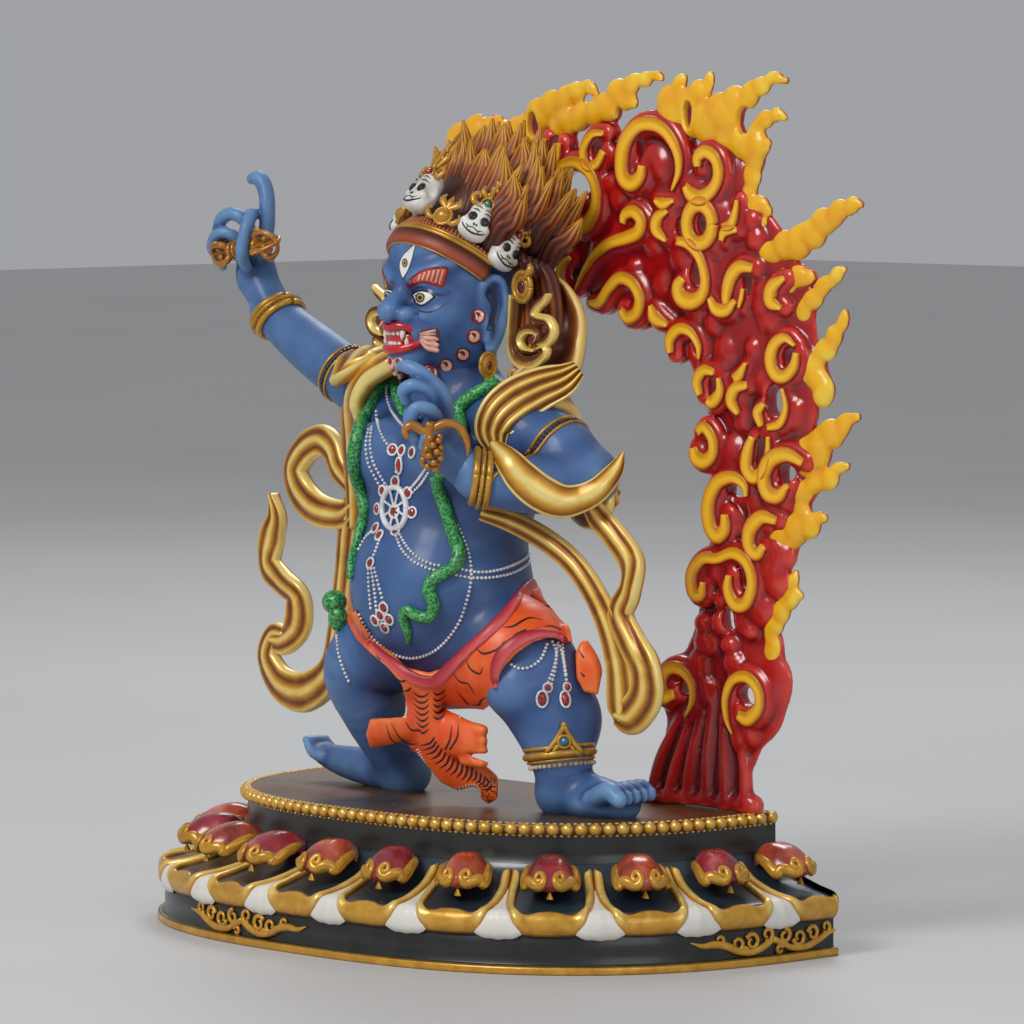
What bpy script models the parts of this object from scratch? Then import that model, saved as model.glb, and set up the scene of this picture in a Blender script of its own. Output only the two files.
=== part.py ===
"""Wrathful Vajrapani figure on a lotus pedestal, with a one-footed flame aureole.

Metres, +Z up. The figure faces -Y and its left side is +X. The origin is the
middle of the pedestal's flat underside.
"""
import math

import bmesh
import bpy
import numpy as np
from mathutils import Matrix, Vector

# Millimetres in metres: the carving below is written in millimetres.
MM = 0.001

# Gap between pieces that touch
CLEARANCE = 0.0003

# Pedestal: a superellipse in plan, cut flat at the back
PLATE_HALF_WIDTH = 0.1139
PLATE_HALF_DEPTH = 0.1017
PLAN_POWER = 2.6
PLAN_CENTRE_Y = 0.0614
BACK_Y = 0.070
PEDESTAL_HEIGHT = 0.0505
FOOT_FLARE = 0.0301
RIM_HEIGHT = 0.003
BAND_INSET = 0.0026
LIP_FOOT_Z = 0.0135
LIP_TOP_Z = 0.0242
LIP_INSET = 0.0038
PETAL_TOP_Z = 0.0395
NECK_INSET = 0.0020
BEAD_HEIGHT = 0.0042
BEAD_OUT = 0.0010
PETAL_COUNT = 13
END_SHARE = 0.267
PETAL_STEPS = 6
PETAL_ROWS = 5

# Shape of one petal: a dome in a hollow field, with a ridge between neighbours
DOME_HALF_SHARE = 0.37
DOME_CENTRE_OUT = 0.0035
DOME_REACH = 0.0192
DOME_CENTRE_RISE = 0.0055
DOME_HALF_HEIGHT = 0.0128
DOME_FIRST_ANGLE = 100.0
DOME_SWEEP = 128.0
RIDGE_HALF_SHARE = 0.10
RIDGE_RISE = 0.0022

# Small steps of the pedestal's profile
BAND_SHOULDER = 0.0004
LIP_BACK = 0.0011
LIP_ROUND = 0.0025

# The carving above the pedestal is drawn in millimetres, then seated on the plate:
# its lowest point is let this far into the plate, and the piece is cut flat there
SOLE_SINK = 0.0021

# Figure
HEAD_CENTRE = (-1.0, 13.0, 242.0)
HEAD_TURN = -9.0
FIGURE_VOXEL = 0.0017
FIGURE_FACES = 4250
BALL_SEGMENTS = 20

# Flame aureole: a slab in a plane parallel to the pedestal's back
AUREOLE_Y = BACK_Y - 0.0095
AUREOLE_THICKNESS = 0.0074
AUREOLE_VOXEL = 0.0015
AUREOLE_FACES = 2750
TRUNK_HALF_WIDTH = 30.0
CURL_HALF_WIDTH = 2.6
CURL_PROUD = 0.9

# Vajra in the right hand, hook in the left
VAJRA_CENTRE = (-116.5, 6.5, 255.0)
VAJRA_AXIS = (1.0, 0.0, 0.04)
VAJRA_HALF_LENGTH = 20.0
VAJRA_BULB = 6.0
HOOK_CENTRE = (41.0, -37.0, 188.0)
HOOK_AXIS = (0.1, 0.0, 1.0)
HOOK_HALF_LENGTH = 12.0


def clear_scene():
    for old in list(bpy.data.objects):
        bpy.data.objects.remove(old, do_unlink=True)


def material(name, colour, roughness, metallic=0.0):
    made = bpy.data.materials.new(name)
    made.use_nodes = True
    shader = made.node_tree.nodes["Principled BSDF"]
    shader.inputs["Base Color"].default_value = (*colour, 1.0)
    shader.inputs["Roughness"].default_value = roughness
    shader.inputs["Metallic"].default_value = metallic
    return made


def smooth_path(points, radii, per_span):
    """Catmull-Rom points and radii through the given ones."""
    rows = np.array([(*p, r) for p, r in zip(points, radii)], dtype=float)
    padded = np.vstack([2 * rows[0] - rows[1], rows, 2 * rows[-1] - rows[-2]])
    out = []
    for i in range(1, len(padded) - 2):
        p0, p1, p2, p3 = padded[i - 1:i + 3]
        for s in np.arange(per_span) / per_span:
            out.append(0.5 * (2 * p1 + (p2 - p0) * s + (2 * p0 - 5 * p1 + 4 * p2 - p3) * s * s
                              + (3 * p1 - p0 - 3 * p2 + p3) * s ** 3))
    out.append(rows[-1])
    out = np.array(out)
    return out[:, :3], np.maximum(out[:, 3], 0.4)


def add_ball(bm, centre, radii, turn=(0.0, 0.0, 0.0)):
    """An ellipsoid; centre and radii in millimetres, turn in degrees."""
    spin = Matrix.Identity(4)
    for axis, angle in zip("XYZ", turn):
        spin = Matrix.Rotation(math.radians(angle), 4, axis) @ spin
    place = Matrix.Translation(Vector(centre) * MM) @ spin
    place = place @ Matrix.Diagonal((*(Vector(radii) * MM), 1.0))
    bmesh.ops.create_uvsphere(bm, u_segments=BALL_SEGMENTS, v_segments=12, radius=1.0, matrix=place)


def add_tube(bm, points, radii, flat=1.0, across=(0.0, 1.0, 0.0), per_span=5, sides=12):
    """A swept tube in millimetres. flat is its thickness along across, as a share of its width."""
    path, widths = smooth_path(points, radii, per_span)
    thin = Vector(across).normalized()
    rings = []
    for i, (here, width) in enumerate(zip(path, widths)):
        ahead = Vector(path[min(i + 1, len(path) - 1)]) - Vector(path[max(i - 1, 0)])
        ahead.normalize()
        side = ahead.cross(thin)
        if side.length < 0.05:
            side = ahead.orthogonal()
        side.normalize()
        lift = side.cross(ahead).normalized()
        ring = []
        for k in range(sides):
            angle = 2 * math.pi * k / sides
            offset = side * (math.cos(angle) * width) + lift * (math.sin(angle) * width * flat)
            ring.append(bm.verts.new((Vector(here) + offset) * MM))
        rings.append(ring)
    for low, high in zip(rings, rings[1:]):
        for k in range(sides):
            after = (k + 1) % sides
            bm.faces.new((low[k], low[after], high[after], high[k]))
    bm.faces.new(rings[0][::-1])
    bm.faces.new(rings[-1])


def seat_height(bm):
    """How far drawn forms are lifted to stand on the plate."""
    return PEDESTAL_HEIGHT - SOLE_SINK - min(vert.co.z for vert in bm.verts)


def lift_forms(bm, lift):
    bmesh.ops.translate(bm, vec=(0.0, 0.0, lift), verts=bm.verts)


def largest_shell(bm):
    """Keep the outer skin: small closed pockets left inside a cast are filled."""
    unseen = set(bm.verts)
    shells = []
    while unseen:
        stack = [unseen.pop()]
        shell = list(stack)
        while stack:
            for edge in stack.pop().link_edges:
                for vert in edge.verts:
                    if vert in unseen:
                        unseen.remove(vert)
                        stack.append(vert)
                        shell.append(vert)
        shells.append(shell)
    shells.sort(key=len, reverse=True)
    spare = [vert for shell in shells[1:] for vert in shell]
    bmesh.ops.delete(bm, geom=spare, context="VERTS")


def add_cutter(target, cutter):
    cutter.hide_render = True
    cutter.display_type = "WIRE"
    cut = target.modifiers.new(cutter.name, "BOOLEAN")
    cut.operation = "DIFFERENCE"
    cut.solver = "EXACT"
    cut.object = cutter


def add_sole_cutter(target):
    """Cut a piece flat where it stands on the plate, a clearance above it."""
    drop = 0.6 * PEDESTAL_HEIGHT
    span = 4 * PLATE_HALF_WIDTH
    middle = Matrix.Translation((0.0, 0.0, PEDESTAL_HEIGHT + CLEARANCE - 0.5 * drop))
    bm = bmesh.new()
    bmesh.ops.create_cube(bm, size=1.0, matrix=middle @ Matrix.Diagonal((span, span, drop, 1.0)))
    mesh = bpy.data.meshes.new(target.name + "_sole")
    bm.to_mesh(mesh)
    bm.free()
    cutter = bpy.data.objects.new(target.name + "_sole", mesh)
    bpy.context.scene.collection.objects.link(cutter)
    add_cutter(target, cutter)


def cast(name, bm, lift, voxel, smoothing, faces, look, holes=None):
    """Fuse overlapping forms into one skin and thin it to about the given number of triangles."""
    bmesh.ops.recalc_face_normals(bm, faces=bm.faces)
    lift_forms(bm, lift)
    mesh = bpy.data.meshes.new(name + "_forms")
    bm.to_mesh(mesh)
    bm.free()
    made = bpy.data.objects.new(name, mesh)
    bpy.context.scene.collection.objects.link(made)
    fuse = made.modifiers.new("fuse", "REMESH")
    fuse.mode = "VOXEL"
    fuse.voxel_size = voxel
    fuse.adaptivity = 0.0
    if smoothing:
        soften = made.modifiers.new("soften", "SMOOTH")
        soften.factor = 0.5
        soften.iterations = smoothing
    skin = bpy.data.meshes.new_from_object(made.evaluated_get(bpy.context.evaluated_depsgraph_get()))
    made.modifiers.clear()
    clean = bmesh.new()
    clean.from_mesh(skin)
    largest_shell(clean)
    bmesh.ops.triangulate(clean, faces=clean.faces)
    count = len(clean.faces)
    clean.to_mesh(skin)
    clean.free()
    made.data = skin
    if holes:
        add_cutter(made, holes)
    thin = made.modifiers.new("thin", "DECIMATE")
    thin.ratio = min(1.0, faces / count)
    made.data.materials.append(look)
    made.data.shade_smooth()
    return made


# Pedestal

def plan_point(angle, grow):
    """Plan of the pedestal at an angle from +X round the front to -X, grown outward."""
    power = 2.0 / PLAN_POWER
    x = (PLATE_HALF_WIDTH + grow) * math.copysign(abs(math.cos(angle)) ** power, math.cos(angle))
    y = PLAN_CENTRE_Y - (PLATE_HALF_DEPTH + grow) * math.sin(angle) ** power
    return x, y


def plan_columns(grow, angles):
    """Points of one level of the pedestal, with the two back corners first and last."""
    half_depth = PLATE_HALF_DEPTH + grow
    back = (BACK_Y - PLAN_CENTRE_Y) / half_depth
    corner = (PLATE_HALF_WIDTH + grow) * (1 - back ** PLAN_POWER) ** (1 / PLAN_POWER)
    return [(corner, BACK_Y)] + [plan_point(a, grow) for a in angles] + [(-corner, BACK_Y)]


def even_angles(count):
    """Angles that space the columns evenly along the curved edge, and that edge's length."""
    fine = np.linspace(0.0, math.pi, 1501)
    edge = np.array([plan_point(a, 0.5 * FOOT_FLARE) for a in fine])
    run = np.concatenate([[0.0], np.cumsum(np.linalg.norm(np.diff(edge, axis=0), axis=1))])
    return np.interp(np.linspace(0.0, run[-1], count + 1), run, fine), run[-1]


def petal_share(place, whole):
    """Distance across the nearest petal, from -0.5 to 0.5 of a petal, at a place from one back corner."""
    pitch = whole / (PETAL_COUNT - 1 + 2 * END_SHARE)
    return (place / pitch - END_SHARE + 0.5) % 1.0 - 0.5


def petal_levels():
    """Rows down the petals: (field growth, field height, dome growth, dome height)."""
    reach = FOOT_FLARE - LIP_INSET
    drop = PETAL_TOP_Z - LIP_TOP_Z
    rows = []
    for step in range(PETAL_ROWS):
        share = step / PETAL_ROWS
        turn = 0.5 * math.pi * share
        field_out = -NECK_INSET + (reach + NECK_INSET) * (1 - math.cos(turn)) ** 0.75
        field_z = LIP_TOP_Z + drop * (1 - math.sin(turn)) ** 1.1
        over = math.radians(DOME_FIRST_ANGLE - DOME_SWEEP * share)
        dome_out = DOME_CENTRE_OUT + DOME_REACH * math.cos(over)
        dome_z = LIP_TOP_Z + DOME_CENTRE_RISE + DOME_HALF_HEIGHT * math.sin(over)
        rows.append((field_out, field_z, max(dome_out, field_out), max(dome_z, field_z)))
    return rows


def pedestal_levels():
    """Rows of (growth, height, dome growth, dome height) from the foot up; the dome may be None."""
    rim = FOOT_FLARE
    band = FOOT_FLARE - BAND_INSET
    lip = FOOT_FLARE - LIP_BACK
    top = PEDESTAL_HEIGHT
    rows = [(rim, 0.0, None, None), (rim, RIM_HEIGHT, None, None),
            (band, RIM_HEIGHT + BAND_SHOULDER, None, None), (band, LIP_FOOT_Z, None, None),
            (lip, LIP_FOOT_Z + LIP_ROUND, None, None), (lip, LIP_TOP_Z - LIP_ROUND, None, None),
            (FOOT_FLARE - LIP_INSET, LIP_TOP_Z, None, None)]
    rows += petal_levels()[::-1]
    rows += [(-NECK_INSET, top - BEAD_HEIGHT, None, None), (BEAD_OUT, top - 0.75 * BEAD_HEIGHT, None, None),
             (BEAD_OUT, top - 0.25 * BEAD_HEIGHT, None, None), (-NECK_INSET, top, None, None)]
    return rows


def make_pedestal():
    pitches = PETAL_COUNT - 1 + 2 * END_SHARE
    angles, length = even_angles(round(pitches * PETAL_STEPS))
    straight = BACK_Y - PLAN_CENTRE_Y
    whole = length + 2 * straight
    bm = bmesh.new()
    rings = []
    for grow, height, dome_grow, dome_height in pedestal_levels():
        flat_ring = plan_columns(grow, angles)
        if dome_grow is None:
            ring = [bm.verts.new((x, y, height)) for x, y in flat_ring]
            rings.append(ring)
            continue
        full_ring = plan_columns(dome_grow, angles)
        ring = []
        for i, ((x, y), (dome_x, dome_y)) in enumerate(zip(flat_ring, full_ring)):
            place = straight + length * (i - 1) / (len(angles) - 1)
            across = abs(petal_share(min(max(place, 0.0), whole), whole))
            share = math.sqrt(max(0.0, 1 - (across / DOME_HALF_SHARE) ** 2))
            ridge = RIDGE_RISE * max(0.0, (across - 0.5) / RIDGE_HALF_SHARE + 1)
            ring.append(bm.verts.new((x + (dome_x - x) * share, y + (dome_y - y) * share,
                                      height + (dome_height - height) * share + ridge)))
        rings.append(ring)
    for low, high in zip(rings, rings[1:]):
        for k in range(len(low)):
            after = (k + 1) % len(low)
            bm.faces.new((low[k], high[k], high[after], low[after]))
    bm.faces.new(rings[0])
    bm.faces.new(rings[-1][::-1])
    bmesh.ops.recalc_face_normals(bm, faces=bm.faces)
    bmesh.ops.triangulate(bm, faces=[f for f in bm.faces if len(f.verts) == 4])
    mesh = bpy.data.meshes.new("pedestal")
    bm.to_mesh(mesh)
    bm.free()
    made = bpy.data.objects.new("pedestal", mesh)
    bpy.context.scene.collection.objects.link(made)
    mesh.materials.append(material("painted_lotus", (0.12, 0.10, 0.06), 0.45))
    mesh.shade_smooth()
    mesh.set_sharp_from_angle(angle=math.radians(35))
    return made


# Figure

def add_torso(bm):
    add_ball(bm, (0, 14, 108), (33, 25, 18))
    add_ball(bm, (-2, 8, 131), (36, 33, 33))
    add_ball(bm, (-2, 13, 168), (38, 27, 33))
    add_tube(bm, [(-37, 16, 192), (0, 17, 196), (37, 11, 190)], [13, 17, 14])
    add_tube(bm, [(-2, 15, 190), (-1, 12, 218)], [17, 16])


def add_head(bm):
    add_ball(bm, (-1, 13, 242), (25, 23, 29))
    add_ball(bm, (-2, 6, 225), (20, 18, 16))
    add_ball(bm, (-2.5, -10, 235), (4.5, 6, 5))
    add_tube(bm, [(-2.5, -8, 247), (-2.5, -11, 238)], [3, 4])
    add_tube(bm, [(-14, -6, 226), (-2.5, -11, 223), (9, -6, 226)], [4, 5.5, 4])
    add_ball(bm, (-2.5, -8, 213), (8, 6, 6))
    for side in (-1, 1):
        centre = -2 + 11 * side
        brow = [(-2 + 4 * side, -10, 245), (centre, -9, 249), (-2 + 18 * side, -3, 252)]
        add_tube(bm, brow, [2.6, 3.4, 2.6])
        add_ball(bm, (centre, -4, 233), (8, 6, 8))
        add_ball(bm, (-1 + 25.5 * side, 14, 236), (3.0, 6, 12))
        add_ball(bm, (-1 + 24 * side, 10, 213), (3.4, 4.5, 5))


def add_hair(bm):
    add_ball(bm, (-1, 33, 262), (26, 20, 28))
    add_ball(bm, (-1, 26, 270), (25, 22, 18))
    for k in range(7):
        angle = math.radians(-66 + 22 * k)
        foot = Vector((-1 + 18 * math.sin(angle), 34, 268 + 14 * math.cos(angle)))
        tip = foot + Vector((13 * math.sin(angle), 7, 9 + 6 * math.cos(angle)))
        add_tube(bm, [foot, foot.lerp(tip, 0.6), tip], [10, 7, 1.5])


def crown_point(angle, rise):
    """A point on the crown: its band is an ellipse in a plane that tips back."""
    tip = math.radians(36)
    forward = 27 * math.cos(angle)
    side = 26.5 * math.sin(angle)
    y = 13 - forward * math.cos(tip) + rise * math.sin(tip)
    z = 248 + forward * math.sin(tip) + rise * math.cos(tip)
    return (-1 + side, y, z)


def add_crown(bm):
    sweep = [math.radians(a) for a in range(-100, 101, 20)]
    add_tube(bm, [crown_point(a, 1.0) for a in sweep], [3.4] * len(sweep), flat=0.7, per_span=2)
    for angle in (-88, -57, 0, 57, 88):
        turn = math.radians(angle)
        size = 6.6 if angle == 0 else 5.6
        add_ball(bm, crown_point(turn, 4 + 1.5 * size), (size, size, 1.25 * size))
        low, high = crown_point(turn, 4 + 2.4 * size), crown_point(turn, 12 + 3.2 * size)
        add_tube(bm, [low, high], [4.6, 1.2])
    for angle in (-30, 30):
        add_ball(bm, crown_point(math.radians(angle), 7), (5, 4, 5))
    for side in (-1, 1):
        add_ball(bm, (-1 + 32 * side, 14, 243), (4.5, 5, 5))
        ribbon = [(-1 + 30 * side, 16, 238), (-1 + 29 * side, 18, 222), (-1 + 36 * side, 19, 216),
                  (-1 + 44 * side, 19, 222), (-1 + 39 * side, 19, 230), (-1 + 44 * side, 19, 240)]
        add_tube(bm, ribbon, [3.4, 4.4, 5, 4.2, 3.6, 2.0], flat=0.7)
        add_tube(bm, [(-1 + 24 * side, 18, 222), (-1 + 34 * side, 19, 218)], [5, 5])


def add_hand(bm, palm, palm_radii, turn, fingers):
    add_ball(bm, palm, palm_radii, turn)
    for points, thick in fingers:
        add_tube(bm, points, [thick] * (len(points) - 1) + [0.7 * thick], sides=8, per_span=3)


def add_arms(bm):
    add_tube(bm, [(-34, 16, 192), (-58, 16, 205), (-84, 16, 218), (-105, 16, 230), (-110, 16, 237)],
             [13, 11, 10, 8.2, 7.4])
    add_tube(bm, [(-101, 16, 225), (-106, 16, 236)], [10, 9.2], per_span=2)
    right_fingers = [
        ([(-110, 14, 254), (-106, 14, 266), (-109, 15, 276), (-116, 16, 281)], 3.5),
        ([(-113, 14, 257), (-111, 10, 267), (-119, 8, 269), (-128, 8, 262)], 3.0),
        ([(-119, 14, 256), (-120, 9, 264), (-126, 8, 263), (-131, 8, 257)], 2.8),
        ([(-122, 15, 253), (-128, 13, 259), (-132, 13, 255)], 2.6),
        ([(-121, 19, 250), (-124, 20, 261), (-119, 18, 269)], 3.2)]
    add_hand(bm, (-116, 16, 246), (8.5, 6.5, 12), (0, 8, 0), right_fingers)
    add_tube(bm, [(34, 12, 191), (52, 13, 185), (70, 14, 175)], [14, 12.5, 10.5])
    add_tube(bm, [(70, 14, 175), (58, -1, 172), (45, -16, 174), (38, -24, 183)], [10.5, 10.5, 8.6, 7.0])
    add_tube(bm, [(49, -12, 173), (43, -18, 176)], [10.2, 9.4], per_span=2)
    left_fingers = [
        ([(29, -31, 200), (25, -36, 212), (16, -38, 219)], 3.2),
        ([(31, -31, 199), (29, -38, 208), (20, -41, 211), (15, -40, 204)], 3.0),
        ([(33, -31, 196), (34, -38, 202), (27, -42, 205)], 2.9),
        ([(22, -29, 190), (15, -34, 195), (17, -37, 204)], 3.2)]
    add_hand(bm, (30, -27, 190), (8, 6.5, 13), (0, -12, 0), left_fingers)


def add_legs(bm):
    add_tube(bm, [(-20, 12, 112), (-38, 2, 99), (-37, 6, 82), (-34, 16, 64), (-34, 18, 58)],
             [20, 15, 13, 11, 9])
    add_tube(bm, [(-31, 18, 57), (-50, 19, 56.5), (-72, 20, 56.5), (-90, 21, 65)], [8.5, 8, 6, 3.2])
    add_tube(bm, [(20, 12, 114), (44, 9, 102), (53, 8, 88), (60, 9, 74), (62, 10, 60)],
             [22, 19, 14.5, 12, 10])
    add_tube(bm, [(58, 11, 57.5), (72, 13, 57.5), (90, 16, 56)], [9, 8.5, 6.5])
    add_tube(bm, [(60, 9, 69), (61, 9, 73)], [13.4, 13.2], per_span=2)
    for k in range(5):
        toe = (93 - 1.5 * k, 6 + 5.2 * k, 61.5 - 0.6 * k)
        add_ball(bm, toe, (6, 3.2, 3.6), (0, -18, 14))


def add_skirt(bm):
    waist = [(-38, 15, 116), (-32, -12, 105), (-8, -27, 95), (14, -22, 101), (34, -8, 116), (38, 12, 127)]
    add_tube(bm, waist, [4, 4, 4.5, 4.5, 4.5, 4])
    add_ball(bm, (0, 15, 110), (36, 26, 20))
    add_tube(bm, [(10, 6, 112), (36, 6, 107), (50, 8, 102)], [24, 22, 17])
    add_tube(bm, [(2, -10, 98), (4, -8, 84), (10, -4, 70), (26, 2, 59), (30, 4, 53)],
             [19, 15, 12, 8.5, 4.5], flat=0.36)
    add_tube(bm, [(2, -8, 82), (-14, -8, 77), (-27, -6, 75)], [7, 7.5, 7], flat=0.6)
    add_tube(bm, [(8, -7, 84), (20, -6, 81), (28, -5, 78)], [6, 6.5, 5.5], flat=0.6)
    add_tube(bm, [(-52, 16, 98), (-60, 18, 87)], [6, 8], flat=0.6)
    add_tube(bm, [(62, 14, 110), (68, 16, 98)], [7, 8], flat=0.6)


def add_scarf(bm):
    add_tube(bm, [(-20, 6, 214), (-36, 8, 208), (-45, 10, 198), (-47, 12, 182), (-50, 14, 162)],
             [6, 11, 12, 8.5, 7], flat=0.55)
    ring = [(-56, 14, 156), (-77, 15, 157), (-90, 16, 163), (-90, 16, 174), (-81, 16, 180),
            (-70, 15, 178), (-60, 14, 166)]
    add_tube(bm, ring, [5.5, 6.5, 7, 7, 7, 5.5, 6], flat=0.6)
    fall = [(-50, 14, 166), (-58, 15, 152), (-62, 16, 132), (-67, 16, 110), (-73, 17, 92),
            (-88, 17, 82), (-105, 18, 85), (-110, 18, 97), (-104, 17, 106)]
    add_tube(bm, fall, [7, 6.5, 6, 6, 6.5, 7.5, 7.5, 6, 5], flat=0.5)
    tail = [(-108, 17, 102), (-97, 16, 104), (-90, 15, 112), (-91, 15, 123), (-101, 16, 125),
            (-109, 17, 134), (-106, 17, 145), (-105, 17, 158)]
    add_tube(bm, tail, [5, 5.5, 5.5, 5, 5.5, 5, 5, 2], flat=0.55)
    arch = [(28, 26, 240), (40, 24, 238), (50, 22, 224), (48, 18, 211), (36, 8, 203), (26, 0, 192)]
    add_tube(bm, arch, [4, 5, 7, 9, 11, 9], flat=0.5, across=(0.4, 1.0, 0.0))
    sling = [(24, -8, 192), (36, -13, 186), (52, -8, 174), (66, 6, 166), (78, 15, 168), (86, 20, 180)]
    add_tube(bm, sling, [9, 10, 10.5, 9.5, 8, 3], flat=0.5, across=(0.5, -0.8, 0.3))
    drop = [(72, 14, 166), (77, 15, 159), (86, 16, 151), (92, 16, 142), (88, 16, 131), (86, 16, 122),
            (94, 16, 113), (98, 16, 101), (92, 16, 90), (82, 16, 87)]
    add_tube(bm, drop, [4, 4.5, 5, 5.5, 5.5, 5.5, 6, 7, 7, 6], flat=0.6)
    band = [(34, -8, 160), (42, 2, 157), (54, 10, 150), (68, 12, 141), (80, 14, 124), (87, 16, 106),
            (86, 16, 90)]
    add_tube(bm, band, [4, 4.5, 4.5, 4.5, 4.5, 5, 6], flat=0.6)


def add_snakes(bm):
    chest = [(-26, -6, 208), (-34, -8, 196), (-38, -10, 178), (-37, -13, 158), (-37, -15, 142),
             (-42, -8, 126)]
    add_tube(bm, chest, [3.2] * 6)
    add_ball(bm, (-45, -6, 119), (5, 5, 6))
    belly = [(20, -14, 172), (22, -19, 158), (20, -24, 145), (8, -30, 138), (4, -29, 124), (-8, -28, 114)]
    add_tube(bm, belly, [3.2] * 6)


def turned(name, profile, centre, axis, lift, grow, look):
    """A turned piece: (place, radius) pairs in millimetres along an axis."""
    bm = bmesh.new()
    along = Vector(axis).normalized()
    first = along.orthogonal().normalized()
    second = along.cross(first)
    rings = []
    for place, radius in profile:
        ring = []
        for k in range(8):
            angle = math.pi * k / 4
            out = (first * math.cos(angle) + second * math.sin(angle)) * (radius + grow)
            ring.append(bm.verts.new((Vector(centre) + along * place + out) * MM))
        rings.append(ring)
    for low, high in zip(rings, rings[1:]):
        for k in range(8):
            after = (k + 1) % 8
            bm.faces.new((low[k], low[after], high[after], high[k]))
    bm.faces.new(rings[0][::-1])
    bm.faces.new(rings[-1])
    bmesh.ops.recalc_face_normals(bm, faces=bm.faces)
    lift_forms(bm, lift)
    mesh = bpy.data.meshes.new(name)
    bm.to_mesh(mesh)
    bm.free()
    made = bpy.data.objects.new(name, mesh)
    bpy.context.scene.collection.objects.link(made)
    mesh.materials.append(look)
    mesh.shade_smooth()
    return made


def vajra_profile(grow):
    """Half of the vajra is mirrored to the other: hub, grip, bulb of prongs, tip."""
    half = [(0.0, 3.0), (2.6, 2.4), (6.0, 2.6), (8.0, 5.0), (12.5, VAJRA_BULB), (17.0, 3.6),
            (VAJRA_HALF_LENGTH, 1.4)]
    both = [(-place, radius) for place, radius in half[:0:-1]] + half
    both[0] = (both[0][0] - grow, both[0][1])
    both[-1] = (both[-1][0] + grow, both[-1][1])
    return both


def hook_profile(grow):
    half = HOOK_HALF_LENGTH
    both = [(-half, 1.5), (-0.72 * half, 4.4), (-0.45 * half, 4.8), (-0.1 * half, 2.4), (0.35 * half, 2.4),
            (0.6 * half, 4.0), (half, 1.6)]
    both[0] = (both[0][0] - grow, both[0][1])
    both[-1] = (both[-1][0] + grow, both[-1][1])
    return both


def make_figure():
    bm = bmesh.new()
    add_head(bm)
    add_hair(bm)
    add_crown(bm)
    turn = Matrix.Rotation(math.radians(HEAD_TURN), 3, "Z")
    bmesh.ops.rotate(bm, cent=Vector(HEAD_CENTRE) * MM, matrix=turn, verts=bm.verts)
    add_torso(bm)
    add_arms(bm)
    add_legs(bm)
    add_skirt(bm)
    add_scarf(bm)
    add_snakes(bm)
    lift = seat_height(bm)
    look = material("painted_blue", (0.06, 0.13, 0.30), 0.5)
    figure = cast("figure", bm, lift, FIGURE_VOXEL, 3, FIGURE_FACES, look)
    gold = material("antique_gold", (0.55, 0.33, 0.10), 0.35, 0.6)
    gap = CLEARANCE / MM
    turned("vajra", vajra_profile(0.0), VAJRA_CENTRE, VAJRA_AXIS, lift, 0.0, gold)
    turned("noose_hook", hook_profile(0.0), HOOK_CENTRE, HOOK_AXIS, lift, 0.0, gold)
    vajra_room = turned("vajra_room", vajra_profile(gap), VAJRA_CENTRE, VAJRA_AXIS, lift, gap, gold)
    hook_room = turned("hook_room", hook_profile(gap), HOOK_CENTRE, HOOK_AXIS, lift, gap, gold)
    add_cutter(figure, vajra_room)
    add_cutter(figure, hook_room)
    add_sole_cutter(figure)


# Flame aureole, drawn in its own plane: (x, z) in millimetres

def add_slab(bm, outline, depth, at_y):
    """A flat plate from a closed outline, centred on at_y."""
    rings = []
    for y in (at_y - 0.5 * depth, at_y + 0.5 * depth):
        rings.append([bm.verts.new((x * MM, y * MM, z * MM)) for x, z in outline])
    count = len(outline)
    for k in range(count):
        after = (k + 1) % count
        bm.faces.new((rings[0][k], rings[0][after], rings[1][after], rings[1][k]))
    caps = [bm.faces.new(rings[0][::-1]), bm.faces.new(rings[1])]
    bmesh.ops.triangulate(bm, faces=caps)


def add_flame(bm, foot, tip, width, curl):
    """A pointed tongue of fire from foot to tip, bowed to one side."""
    foot, tip = Vector(foot), Vector(tip)
    run = tip - foot
    side = Vector((-run.z, 0.0, run.x)).normalized() * curl
    points = [foot, foot + run * 0.35 + side, foot + run * 0.7 + side * 0.2, tip]
    add_tube(bm, points, [width, 0.86 * width, 0.5 * width, 0.22 * width], flat=0.62, sides=8, per_span=3)


def curl_points(centre, radius, start, sweep, shrink):
    """Points of a curl whose radius shrinks as it turns; angles in degrees, anticlockwise."""
    steps = max(4, int(abs(sweep) / 40))
    front_y = (AUREOLE_Y - 0.5 * AUREOLE_THICKNESS) / MM - CURL_PROUD
    out = []
    for k in range(steps + 1):
        share = k / steps
        angle = math.radians(start + sweep * share)
        reach = radius * (1 - shrink * share)
        out.append((centre[0] + reach * math.cos(angle), front_y, centre[1] + reach * math.sin(angle)))
    return out


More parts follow.
